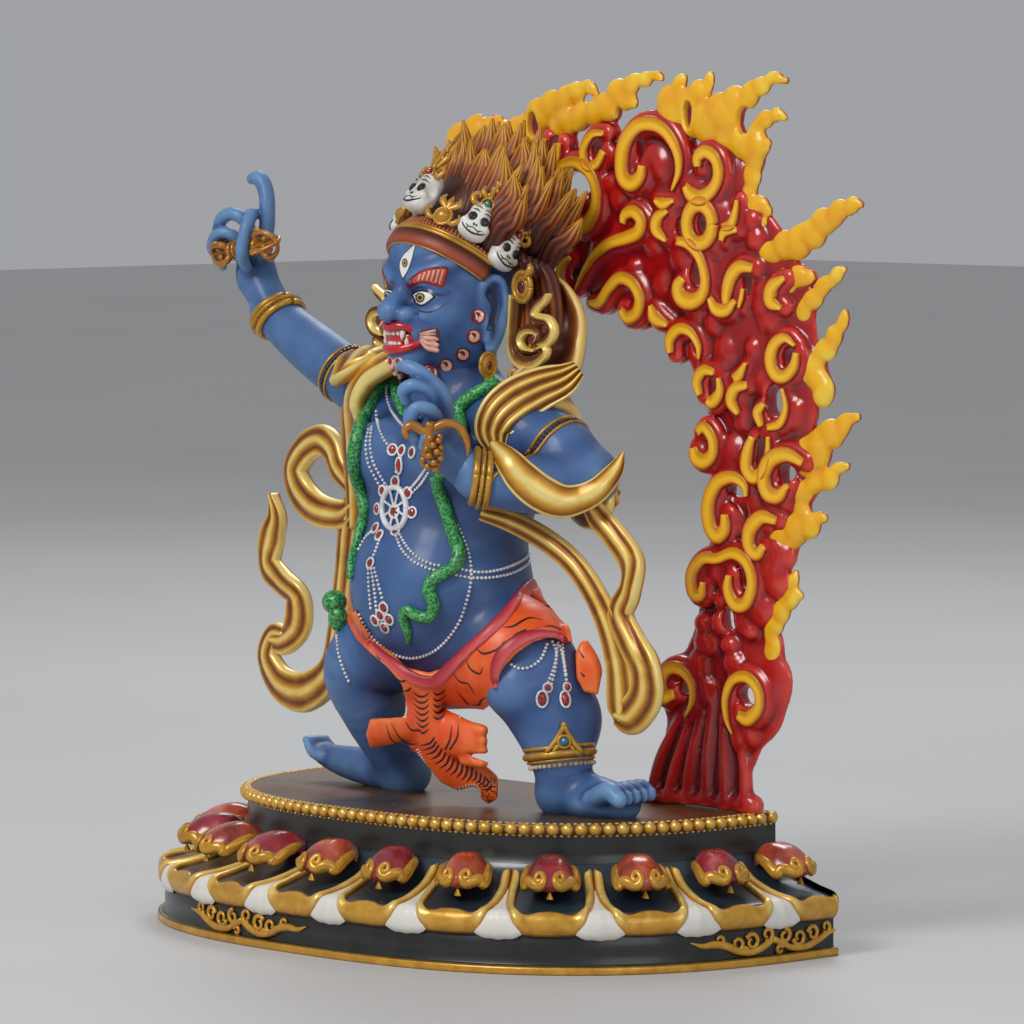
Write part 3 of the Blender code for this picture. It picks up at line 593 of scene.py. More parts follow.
def edge(place, grow):
    """Plan point at a place along the edge, grown outward."""
    place = np.clip(place, 0, EDGE_LENGTH)
    angle = np.interp(place - STRAIGHT, EDGE_RUN, EDGE_ANGLES)
    x, y = plan(angle, grow)
    y = y + np.maximum(STRAIGHT - place, 0) + np.maximum(place - (EDGE_LENGTH - STRAIGHT), 0)
    return x, y


def on_edge(place, grow, z):
    x, y = edge(place, grow)
    return np.stack(np.broadcast_arrays(x, y, z), -1)


COVE_PATH = evenly(smooth_path(np.insert(COVE, 2, 0.0, axis=1), np.zeros(len(COVE)), 8), 0.25)
COVE_ARC = np.concatenate([[0], np.cumsum(np.linalg.norm(np.diff(COVE_PATH[:, :2], axis=0), axis=1))])
COVE_OUT = unit(np.gradient(COVE_PATH[:, :2], axis=0))[:, ::-1] * (-1, 1)


def on_cove(place, arc, lift):
    """Point at an arc length down the cove from the neck, lifted off its surface."""
    g = np.interp(arc, COVE_ARC, COVE_PATH[:, 0]) + lift * np.interp(arc, COVE_ARC, COVE_OUT[:, 0])
    z = np.interp(arc, COVE_ARC, COVE_PATH[:, 1]) + lift * np.interp(arc, COVE_ARC, COVE_OUT[:, 1])
    return on_edge(place, g, z)


def grid_quads(rows, columns):
    """Quads of a grid of points, row after row."""
    base = (np.arange(rows - 1)[:, None] * columns + np.arange(columns - 1)).ravel()
    return np.stack([base, base + 1, base + columns + 1, base + columns], 1)


def edge_sheet(batch, levels, step=1.5, mark=0.0):
    """A band right round the pedestal through (growth, height) levels."""
    places = np.linspace(0, EDGE_LENGTH, int(EDGE_LENGTH / (step * FINE)))
    rows = np.array([on_edge(places, g, z) for g, z in levels])
    batch.add(rows.reshape(-1, 3), grid_quads(len(levels), len(places))[:, ::-1], mark=mark)


def petal_frame(batch, centre):
    """The gold rim of a petal: two ridges from the neck that run into a lip."""
    inner = [(14.6, 6.4), (13.3, 8), (12.8, 11), (12.9, 17), (12.7, 24), (12.2, 30), (11.0, 34.4),
             (8.6, 36.4), (5.6, 36.0), (2.8, 34.6), (0, 34.0)]
    outer = [(16.4, 5.2), (17.25, 7), (17.35, 11), (17.3, 18), (16.6, 25), (15.2, 31.5), (13.6, 37),
             (11.6, 42), (9.0, 45.2), (4.5, 46.0), (0, 46.2)]
    pairs = smooth_path([(*p, 0) for p in inner], [(q[0], q[1]) for q in outer], 5)[:, (0, 1, 3, 4)]
    mirror = pairs[-2::-1] * (-1, 1, -1, 1)
    pairs = np.vstack([pairs, mirror])
    across = np.linspace(0, 1, 11)
    u = pairs[:, :1] * (1 - across) + pairs[:, 2:3] * across
    arc = pairs[:, 1:2] * (1 - across) + pairs[:, 3:4] * across
    wide = np.hypot(pairs[:, 0] - pairs[:, 2], pairs[:, 1] - pairs[:, 3])[:, None]
    lift = np.sin(math.pi * across) ** 0.6 * (1.5 + 0.9 * np.exp(-((wide - 4) / 3) ** 2))
    lift = lift + 0.5 * np.exp(-((across - 0.16) / 0.1) ** 2) - 0.5
    step = np.arange(len(lift))[:, None]
    fade = np.clip(np.minimum(step, len(lift) - 1 - step) / 5.0, 0, 1)
    verts = on_cove(centre + u, arc, lift * fade)
    # mark carries the rim's height, which the petal gold turns into painted shade low on the rim and painted
    # highlight on its crest
    batch.add(verts.reshape(-1, 3), grid_quads(*u.shape), mark=lift.ravel())


def petal_leaf(batch, place):
    """The pale leaf that shows between two petals."""
    rows = np.linspace(0, 1, 22)[:, None]
    across = np.linspace(-1, 1, 15)[None, :]
    half = np.interp(16 + 31 * rows, [16, 18, 26.5, 34.8, 40, 43, 45, 46.4, 47],
                     [0, .4, 1.2, 3.0, 5.6, 8.4, 9.0, 8.2, 7])
    arc = 16 + (30.6 - 1.4 * across ** 2) * rows
    lift = 0.3 + 0.8 * (1 - across ** 2) * np.minimum(1, rows * 1.5) + 0.14 * np.cos(across * 9) * rows
    verts = on_cove(place + half * across, arc, lift)
    batch.add(verts.reshape(-1, 3), grid_quads(len(rows), across.shape[1]))


DOME = smooth_path([(-1, 36.5, 0), (3, 39.6, 0), (8, 40.6, 0), (14, 39.2, 0), (18.4, 36.4, 0),
                    (21.2, 33.4, 0), (21.6, 31.2, 0), (20.4, 29.4, 0), (18, 28.4, 0)],
                   [7.0, 8.6, 9.4, 9.8, 9.8, 9.2, 8.2, 6.2, 2.5], 6)


def on_dome(centre, down, across, lift):
    """Point on a petal's dome: down from 0 at the neck to 1 at its tip, across from -1 to 1."""
    ahead = unit(np.gradient(DOME[:, :2], axis=0))
    share = np.linspace(0, 1, len(DOME))
    out = np.stack([np.interp(down, share, -ahead[:, 1]), np.interp(down, share, ahead[:, 0])], -1)
    place = np.stack([np.interp(down, share, DOME[:, k]) for k in (0, 1)], -1)
    half = np.interp(down, share, DOME[:, 3])
    turn = across * math.pi / 2
    sink = (1 - np.cos(turn)) * 0.85 * half - 0.5 * np.exp(-((np.abs(across) - 0.3) / 0.2) ** 2)
    flat = place + out * (lift * np.cos(turn) - sink)[..., None]
    return on_edge(centre + (half + lift) * np.sin(turn), flat[..., 0], flat[..., 1])


def petal_dome(batch, centre):
    """The red body of a petal."""
    down, across = np.meshgrid(np.linspace(0, 1, 34), np.linspace(-1, 1, 25), indexing="ij")
    batch.add(on_dome(centre, down, across, np.zeros_like(down)).reshape(-1, 3), grid_quads(*down.shape),
              mark=down.ravel())


def petal_border(batch, centre):
    """The gold edge of a dome, ending below in two facing curls over a small point."""
    run = [(.04, .66), (.16, .78), (.34, .84), (.52, .84), (.67, .78), (.78, .60), (.80, .40), (.74, .23),
           (.64, .14), (.56, .17), (.54, .28), (.60, .35), (.65, .28), (.62, .20)]
    wide = [.5, 1.5, 2.0, 2.2, 2.4, 2.4, 2.1, 1.7, 1.3, 1.1, 1.0, .95, .85, .7]
    for side in (-1, 1):
        path = flat_path([(down, side * across) for down, across in run], wide, 5)
        middle = on_dome(centre, path[:, 0], path[:, 1], 0.25 + 0 * path[:, 0])
        out = unit(on_dome(centre, path[:, 0], path[:, 1], 1.5 + 0 * path[:, 0]) - middle)
        batch.add(*ridge(middle, path[:, 3], out, 0.75))
    tip = on_dome(centre, np.array([.93, 1.0]), np.zeros(2), np.array([.2, 1.2]))
    batch.tube([tip[0], tip[0] + (0, 0, -1.4), tip[0] + (0, 0, -2.6)], [0.4, 1.2, 1.8], flat=0.5, sides=8)


def ridge(middle, widths, out, flat):
    """A rounded cord along points, with the lift direction at each: verts, quads, end triangles."""
    ahead = unit(np.gradient(middle, axis=0))
    side = unit(np.cross(ahead, out))
    sides = 8
    angle = (2 * math.pi * np.arange(sides) / sides)[None, :, None]
    widths = np.asarray(widths)[:, None, None]
    verts = middle[:, None] + widths * (side[:, None] * np.cos(angle) + out[:, None] * np.sin(angle) * flat)
    quads, tris = ring_faces(len(middle), sides)
    return verts.reshape(-1, 3), quads, tris


def scroll(batch, start, direction):
    """A band of cloud scrolls along the pedestal's wall: (run, height, radius of each curl, turn)."""
    out_lift = 28.0

    def lay(points, widths):
        path = flat_path([(1.12 * run, 1.2 * height - 1.3) for run, height in points], widths, 6)
        places = start + direction * path[:, 0]
        middle = on_edge(places, out_lift, path[:, 1])
        out = unit(on_edge(places, out_lift + 2, path[:, 1]) - middle)
        batch.add(*ridge(middle, 1.12 * path[:, 3], out, 0.9))

    lay([(0, 9.6), (4, 8.4), (8, 8.6), (12, 8.0), (16, 6.2), (21, 5.2), (26, 6.4), (30, 8.6)],
        [.2, .9, 1.3, 1.4, 1.3, 1.2, 1.3, 1.1])
    lay([(30, 8.6), (34, 7), (38, 5.2), (44, 5), (49, 6.4), (54, 8.4), (60, 9)],
        [1.2, 1.1, 1.2, 1.3, 1.2, 1.0, .3])
    for place, height, size, first, turn in ((10, 9.8, 1.7, 200, 330), (16.5, 8.2, 2.2, 180, 400),
                                             (22, 8.4, 2.3, 150, -400), (28, 10.2, 2.0, 250, 380),
                                             (35, 9.2, 2.0, 90, -380), (41, 8.2, 2.3, 190, 400),
                                             (47, 8.8, 2.1, 170, -400), (53, 10.2, 1.8, 230, 360),
                                             (19, 5.6, 1.2, 0, 330), (33, 5.0, 1.3, 30, 330)):
        steps = np.linspace(0, 1, 10)
        angles = np.radians(first + turn * steps)
        reach = 1.15 * size * (1 - 0.62 * steps)
        lay([(place + r * math.cos(a), height + r * math.sin(a)) for r, a in zip(reach, angles)],
            0.85 - 0.35 * steps)


def gold(name, deep=(.16, .045, .004), base=(.66, .34, .035), light=(1.0, .76, .24), hollow=-.25, proud=.35,
         key="mark"):
    """Gilding, uneven at random, with painted shade where the key value is low and painted highlight where it
    is high.
    """
    look = Look(name, 0.32, metallic=0.35, coat=0.25)
    # deep is the painted shade colour, light the painted highlight colour
    shade = look.span(look.value(key), hollow, proud)
    shade = look.math("ADD", shade, look.uneven(0.55, 160, 4.0, 0.6))
    look.colour(look.ramp(shade, [(0.05, deep), (0.5, base), (0.95, light)]))
    look.bump(look.noise(700, 2.0), 0.12, 0.0004)
    return look.material


def build_pedestal():
    wall, field, rim = Batch(), Batch(), Batch()
    edge_sheet(wall, [(29.8, 3.0), (27.8, 3.2), (27.5, 3.6), (27.4, 8), (27.4, 13.4), (26.5, 14.5)])
    edge_sheet(wall, [(-1.0, 36.0), (-1.8, 38.0), (-2, 40), (-2, 43), (-2, 46.6)])
    edge_sheet(field, [(COVE_PATH[k, 0], COVE_PATH[k, 1]) for k in range(0, len(COVE_PATH), 8)])
    edge_sheet(rim, [(29.2, 0.02), (29.9, .25), (30.05, 1), (30.05, 2.2), (29.8, 2.8), (29.2, 3.1),
                     (27.3, 3.15)])
    dark = flat_paint("band_paint", (.006, .007, .006), (.014, .017, .015), 0.34, 0.25)
    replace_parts(wall.make("pedestal_wall", dark), "pedestal")
    slate = Look("slate_field", 0.3, coat=0.4)
    slate.colour(slate.ramp(slate.noise(60, 3.0), [(.3, (.006, .012, .026)), (.62, (.022, .045, .06))]))
    field.make("pedestal_field", slate.material)
    rim.make("pedestal_rim", gold("rim_gold", hollow=-.5, proud=.6))
    places = np.linspace(0, EDGE_LENGTH, 260)
    build_plate(places)
    build_back(places)
    build_petals()
    beads, scrolls = Batch(), Batch()
    count = int(EDGE_LENGTH / BEAD_SPACING)
    for place in np.linspace(2.6, EDGE_LENGTH - 2.6, count):
        beads.ball(on_edge(np.array(place), -1.3, 48.5), (2.3, 2.3, 2.25), cuts=4, mark=0.12)
    for place in np.linspace(2.6, EDGE_LENGTH - 2.6, 2 * count):
        beads.ball(on_edge(np.array(place), -2.2, 46.2), (.75, .75, .65), cuts=2, mark=0.3)
        beads.ball(on_edge(np.array(place), -2.6, 50.4), (.9, .9, .5), cuts=2, mark=0.25)
    beads.make("pedestal_beads", gold("bead_gold", hollow=-.35, proud=.45))
    for start, direction in ((64.0, -1), (EDGE_LENGTH - 64.0, 1), (210.0, 1)):
        scroll(scrolls, start, direction)
    scrolls.make("pedestal_scrolls", gold("scroll_gold", hollow=-.45, proud=.5))


def build_plate(places):
    """The plate the figure stands on: its raised edge, and a sheet drawn in to a point near the back."""
    plate = Batch()
    edge_sheet(plate, [(-2, 46.3), (-1.4, 46.6), (-1.4, 50), (-1.9, 50.4), (-3, PLATE_TOP)])
    loop = on_edge(np.append(places, 0.0), -2.9, PLATE_TOP)
    inner = [loop * (s, s, 1) + (0, (1 - s) * 30, 0) for s in np.linspace(1, 0.001, 24)]
    plate.add(np.array(inner).reshape(-1, 3), grid_quads(24, len(loop))[:, ::-1])
    bronze = Look("plate_bronze", 0.38, metallic=0.2, coat=0.2)
    # Mottled brown bronze with reddish patches that are painted red reflections, and a speckle of gold over
    # it
    brown_and_red_reflection = bronze.ramp(bronze.noise(22, 5.0, 0.5), [(.35, (.045, .026, .008)), (.5, (.13, .065, .016)),
                                                     (.65, (.24, .06, .018))])
    bronze.colour(bronze.mix(bronze.span(bronze.noise(900, 2.0), .62, .78), brown_and_red_reflection, (.55, .36, .10)))
    plate.make("pedestal_plate", bronze.material)


def build_back(places):
    """The flat back, and the underside."""
    back = Batch()
    outline = [(30.0, 0.02), (30.05, 2.6), (27.5, 3.3), (27.4, 13.4)]
    outline += [(g, z) for g, z in COVE_PATH[::-12, :2]] + [(-2, 46.3), (-1.4, 50.0), (-2.0, PLATE_TOP)]
    sides = [[on_edge(np.array(place), g, z) for g, z in outline] for place in (0.0, EDGE_LENGTH)]
    back.add(np.array(sides).reshape(-1, 3), grid_quads(2, len(outline)))
    foot = on_edge(places, 29.5, 0.03)
    back.add(np.array([foot, foot * (0.01, 0, 1) + (0, 60, 0)]).reshape(-1, 3), grid_quads(2, len(places)))
    back.make("pedestal_back", flat_paint("back_paint", (.02, .012, .008), (.05, .03, .02), 0.5),
              smooth=False)


def build_petals():
    rims, leaves, crimson, vermilion, borders = (Batch() for _ in range(5))
    for k, centre in enumerate(PETAL_CENTRES):
        petal_frame(rims, centre)
        petal_dome(crimson if k % 2 else vermilion, centre)
        petal_border(borders, centre)
    for centre in PETAL_CENTRES[:-1] + PETAL_PITCH / 2:
        petal_leaf(leaves, centre)
    white = hand_painted("leaf_white", (.42, .38, .30), (.78, .75, .68), (.9, .9, .88), -.3, .2, 0.35, 0.3)
    # Painted shade and highlight on the rims, from their height
    rims.make("petal_rims", gold("petal_gold", hollow=-.2, proud=2.2))
    leaves.make("petal_leaves", white)
    crimson.make("petals_crimson",
                 petal_red("petal_crimson", (.10, .006, .012), (.36, .022, .035), (.75, .30, .32)))
    warm_red = petal_red("petal_vermilion", (.16, .012, .008), (.50, .07, .03), (.80, .35, .25))
    vermilion.make("petals_vermilion", warm_red)
    borders.make("petal_borders", gold("border_gold", hollow=-.4, proud=.5))


def petal_red(name, deep, base, light):
    """Glossy red in streaks that run down the petal; the palest streaks are painted highlights."""
    look = Look(name, 0.22, coat=0.6)
    look.colour(look.ramp(look.noise(90, 3.0, stretch=(1, 1, 0.25)), [(.3, deep), (.55, base), (.85, light)]))
    return look.material


# Laying paint, beads and gems on the carved forms

class Ground:
    """Finished pieces, looked up by sight rays from the viewpoint or by nearness; millimetres."""

    def __init__(self, *names):
        verts, faces, first = [], [], 0
        for name in names:
            mesh = bpy.data.objects[name].data
            verts += [v.co / MM for v in mesh.vertices]
            faces += [[first + k for k in p.vertices] for p in mesh.polygons]
            first = len(verts)
        self.tree = BVHTree.FromPolygons(verts, faces)

    def seen(self, px, py, lift=0.0):
        """The place and outward direction on the surface behind a point of the picture plane."""
        spot, normal = self.tree.ray_cast(EYE, sight(px, py))[:2]
        if spot is None:
            return None, None
        return np.array(spot) + np.array(normal) * lift, np.array(normal)

    def nearest(self, point, lift=0.0):
        spot, normal = self.tree.find_nearest(Vector(point))[:2]
        return np.array(spot) + np.array(normal) * lift, np.array(normal)

    def outward(self, centre, direction, lift=0.0):
        """Where a ray from inside a form leaves it."""
        spot = self.tree.ray_cast(Vector(centre), Vector(direction))[0]
        if spot is None:
            return np.array(centre) + unit(direction) * 10, unit(direction)
        return np.array(spot) + unit(direction) * lift, unit(direction)

    def lay(self, picture, lift=0.0, per_span=6):
        """A run of picture points, smoothed and laid on the surface."""
        rows = flat_path(picture, [1.0] * len(picture), per_span)
        spots = [self.seen(row[0], row[1], lift)[0] for row in rows]
        return np.array([spot for spot in spots if spot is not None])


def on_plane(px, py, point, normal):
    """Where a sight ray meets a plane."""
    ray = np.array(sight(px, py))
    eye = np.array(EYE)
    return eye + ray * (((np.array(point) - eye) @ normal) / (ray @ normal))


def paint_patch(batch, ground, outline, tint, lift=0.1, rings=4, mirror=False):
    """A painted shape laid on a surface from its outline; mirror repeats it on the far cheek."""
    edge = flat_path(outline + outline[:1], [1.0] * (len(outline) + 1), 3)[:-1, :2]
    centre = edge.mean(0)
    rows = [centre + (edge - centre) * (k / rings) for k in range(1, rings + 1)]
    flat = np.vstack([centre[None]] + rows)
    spots = []
    for x, y in flat:
        spot = ground.seen(x, y, lift)[0]
        spots.append(spots[-1] if spot is None else spot)
    count = len(edge)
    quads, tris = [], [[0, 1 + (k + 1) % count, 1 + k] for k in range(count)]
    for ring in range(rings - 1):
        for k in range(count):
            a, b = 1 + ring * count + k, 1 + ring * count + (k + 1) % count
            quads.append([a, b, b + count, a + count])
    batch.add(np.array(spots), np.array(quads), np.array(tris), mark=tint)
    if mirror:
        far = np.array([ground.nearest(other_side(spot), lift)[0] for spot in spots])
        batch.add(far, np.array(quads)[:, ::-1], np.array(tris)[:, ::-1], mark=tint)


def paint_stroke(batch, ground, picture, widths, tint, lift=0.14, mirror=False):
    """A brush stroke; widths are half widths in millimetres."""
    rows = flat_path(picture, widths, 5)
    spots, normals, half = [], [], []
    for x, y, _, width in rows:
        spot, normal = ground.seen(x, y, lift)
        if spot is not None:
            spots.append(spot)
            normals.append(normal)
            half.append(width)
    if len(spots) < 3:
        return
    lay_stroke(batch, np.array(spots), np.array(normals), np.array(half), tint)
    if mirror:
        far_spots, far_normals = zip(*[ground.nearest(other_side(spot), lift) for spot in spots])
        lay_stroke(batch, np.array(far_spots), np.array(far_normals), np.array(half), tint)


def lay_stroke(batch, spots, normals, half, tint):
    """A thin strip along points, with its middle just above its edges."""
    run = unit(np.gradient(spots, axis=0))
    side = unit(np.cross(run, normals))
    width = np.maximum(half, 0.04)[:, None]
    verts = np.stack([spots - side * width - normals * 0.05, spots, spots + side * width - normals * 0.05], 1)
    quads = grid_quads(len(spots), 3)
    batch.add(verts.reshape(-1, 3), quads, mark=tint)


def other_side(point):
    """The mirror image across the middle of the head."""
    away = (np.array(point) - HEAD_MIDDLE) @ HEAD_LEFT
    return np.array(point) - 2 * away * HEAD_LEFT


def strand(batch, path, radius, pitch, mark=0.0):
    """Beads in a row along a path."""
    for spot in evenly(path, pitch):
        batch.ball(spot, (radius, radius, radius), cuts=2, mark=mark)


def hoop(ground, centre, axis, lift, count=48):
    """Points round a limb, in a plane square to its axis."""
    directions = circle(np.zeros(3), *square_to(axis), count + 1, 1.0)
    return np.array([ground.outward(centre, direction, lift)[0] for direction in directions])


def cuff(gold_work, beads, ground, centre, axis, half_width, lift=1.0, bead=0.9):
    """A bracelet: two gold bands with a row of beads between them."""
    axis = unit(axis)
    for shift, radius in ((-half_width, 1.3), (half_width, 1.3)):
        gold_work.tube(hoop(ground, np.array(centre) + axis * shift, axis, lift), [radius] * 49, per_span=1)
    band = hoop(ground, centre, axis, lift * 0.5)
    gold_work.tube(band, [half_width] * 49, flat=0.35, across=axis, per_span=1)
    strand(beads, hoop(ground, centre, axis, lift + 0.5), bead, 2.1 * bead, 0.0)


def palette(name, colours, rough=0.35, coat=0.3):
    """Paints picked by mark: 0, 1, 2 and so on."""
    look = Look(name, rough, coat=coat)
    count = len(colours)
    pick = look.math("DIVIDE", look.math("ADD", look.value("mark"), 0.5), float(count))
    wear = look.noise(140, 3.0)
    dark = look.ramp(pick, [(k / count, tuple(0.62 * c for c in colour)) for k, colour in enumerate(colours)])
    full = look.ramp(pick, [(k / count, colour) for k, colour in enumerate(colours)])
    for link in (dark, full):
        link.node.color_ramp.interpolation = "CONSTANT"
    look.colour(look.mix(look.span(wear, 0.28, 0.5), dark, full))
    return look.material


# Head frame: lateral to its left, forward along its gaze, and up, from the middle of the head

HEAD_MIDDLE = np.array([-1.0, 13.0, 242.0])
HEAD_TURN = math.radians(-9.0)
HEAD_LEFT = np.array([math.cos(HEAD_TURN), math.sin(HEAD_TURN), 0.0])
HEAD_AHEAD = np.array([math.sin(HEAD_TURN), -math.cos(HEAD_TURN), 0.0])
HEAD_SPIN = np.stack([HEAD_LEFT, -HEAD_AHEAD, (0.0, 0.0, 1.0)], 1)


def head_at(lateral, forward, up):
    return HEAD_MIDDLE + HEAD_LEFT * lateral + HEAD_AHEAD * forward + np.array([0.0, 0.0, up])


def head_path(points, side=1):
    return [head_at(side * a, f, u) for a, f, u in points]


def sculpt_body(clay):
    """Trunk, arms and legs; the hands, the head and the left foot are finer pieces of their own."""
    clay.ball((0, 14, 108), (33, 25, 18))
    clay.ball((-2, 8, 131), (36, 33, 33), soft=9)
    clay.ball((-2, 13, 168), (38, 27, 33), soft=10)
    clay.ball((-18, -5, 181), (17, 11, 12), soft=6)
    clay.ball((15, -6, 180), (17, 11, 12), soft=6)
    clay.ball((-18, 33, 186), (14, 7, 18), soft=8)
    clay.ball((18, 31, 185), (14, 7, 18), soft=8)
    clay.tube([(-37, 16, 192), (0, 17, 196), (37, 11, 190)], [13, 17, 14], soft=6)
    clay.tube([(-2, 15, 190), (-1, 12, 222)], [17, 16], soft=6)
    clay.tube([(-4, 41, 200), (-2, 43, 165), (-2, 43, 135)], [2, 3, 2], soft=5, carve=True)
    clay.tube([(-34, 16, 192), (-58, 16, 205), (-84, 16, 218), (-105, 16, 230), (-108, 16, 234)],
              [13.5, 11.4, 10.2, 8.2, 7.4], soft=6)
    clay.tube([(34, 12, 191), (52, 13, 185), (70, 14, 175)], [14.5, 13, 10.8], soft=6)
    clay.tube([(70, 14, 175), (58, -1, 172), (45, -16, 174), (42, -19, 177)], [10.5, 10.8, 8.6, 7.6], soft=4)
    clay.ball((56, 12, 186), (13, 10, 9), soft=6)
    clay.tube([(-20, 12, 112), (-38, 2, 99), (-37, 6, 82), (-34, 16, 64), (-34, 18, 58)],
              [20, 15.5, 12.6, 10.4, 9], soft=6)
    clay.ball((-36, 15, 76), (9, 10, 13), soft=6)
    clay.tube([(-31, 18, 57), (-48, 19, 57.5), (-64, 20, 58), (-74, 20.3, 59), (-80, 20.3, 60)],
              [8.6, 7.8, 6.6, 5.4, 4.4], soft=4)
    for k in range(5):
        back, out = 0.6 * k, 16.2 + 2.0 * k
        clay.tube([(back - 77, out, 60), (back - 83, out, 61.5), (back - 87, out, 66)], [2.8, 2.4, 1.5],
                  soft=1.0)
    clay.tube([(20, 12, 114), (44, 9, 102), (53, 8, 88), (60, 9, 74), (61, 10, 68)], [22, 19, 14.5, 12, 11],
              soft=6)
    clay.ball((58, 17, 84), (11, 12, 15), soft=6)
    clay.ball((48, -4, 96), (10, 8, 9), soft=6)


def sculpt_left_foot(clay):
    clay.tube([(59.5, 9, 76), (61, 10, 66), (61, 10, 60)], [12, 10.6, 9.6], soft=4)
    clay.tube([(58, 11, 57), (72, 13, 57), (86, 15.5, 55.5)], [8.6, 8.6, 6.4], soft=4)
    clay.ball((78, 14.5, 55), (13, 12, 5.5), soft=5)
    for k in range(5):
        size = 3.7 if k == 0 else 3.0
        root = np.array([81 - 1.0 * k, 5.5 + 5.0 * k, 57.5])
        knuckle = root + (9, -0.5, 3.4)
        clay.tube([root, knuckle, knuckle + (5.5, -0.3, -2.4)], [size, size * 1.05, size * 0.82], soft=1.2)
        clay.ball(knuckle + (6.3, -0.3, -0.6), (1.6, 1.9, 1.0), soft=0.3)


def sculpt_right_hand(clay):
    clay.tube([(-102, 16, 227), (-108, 16, 235), (-114, 16, 243)], [8.4, 7.6, 7.4], soft=3)
    clay.ball((-116, 16.5, 247), (8.2, 6.2, 11.5), np.array(Matrix.Rotation(math.radians(8), 3, "Y")), soft=4)
    for points, size in (([(-110, 14, 252), (-106.5, 14, 262), (-106, 14, 270), (-108, 15, 277),
                           (-111.5, 15, 281.5), (-116.5, 15.5, 281.5)], 3.1),
                         ([(-113, 13, 254), (-112, 9, 264), (-117, 6.5, 268), (-124, 6.5, 266),
                           (-129, 8, 260)], 2.6),
                         ([(-109, 9, 268), (-106, 4, 265), (-106, 1.5, 258), (-108, 3, 251), (-112, 10, 246)],
                          2.5),
                         ([(-118, 13, 254), (-120, 7.5, 260), (-125, 5.5, 260), (-130, 7, 255),
                           (-129, 9.5, 250)], 2.5),
                         ([(-121, 14, 251), (-127, 10.5, 255), (-131, 11, 252), (-131, 13, 247)], 2.4),
                         ([(-121, 19, 247), (-124.5, 20, 256), (-121, 17.5, 265), (-117, 14.5, 268)], 2.8)):
        widths = [size * 1.05] + [size] * (len(points) - 2) + [size * 0.72]
        clay.tube(points, widths, soft=1.2)
    clay.ball((-116.8, 15.3, 281.0), (1.2, 1.5, 1.8), soft=0.3)


def sculpt_left_hand(clay):
    clay.tube([(46, -15, 174.5), (40, -20, 178), (36, -25, 184)], [8.6, 7.4, 7.0], soft=3)
    clay.ball((32.5, -27, 190.5), (6.8, 6.2, 11.5), np.array(Matrix.Rotation(math.radians(-4), 3, "Y")),
              soft=4)
    for points, size in (([(36, -25, 198), (39, -30, 206), (35, -35.5, 212.5), (29.5, -38, 215.4),
                           (26, -39, 215.6)],
                          3.1),
                         ([(35, -28, 199), (37, -34, 206.5), (34, -39, 209), (30, -41, 207),
                           (29.5, -39.5, 203)], 3.0),
                         ([(35, -28, 195), (39, -36, 200), (36.5, -41, 200.6), (33.6, -41.4, 195),
                           (34, -38, 190)],
                          2.9),
                         ([(36, -27, 191), (41, -34, 193.5), (40, -38.6, 191), (37.5, -38.6, 186.6)], 2.7),
                         ([(28, -27, 184), (25.6, -31, 190), (27, -35, 197), (30, -37, 201)], 3.3)):
        widths = [size * 0.92] + [size * 0.86] * (len(points) - 2) + [size * 0.62]
        clay.tube(points, widths, soft=1.2)


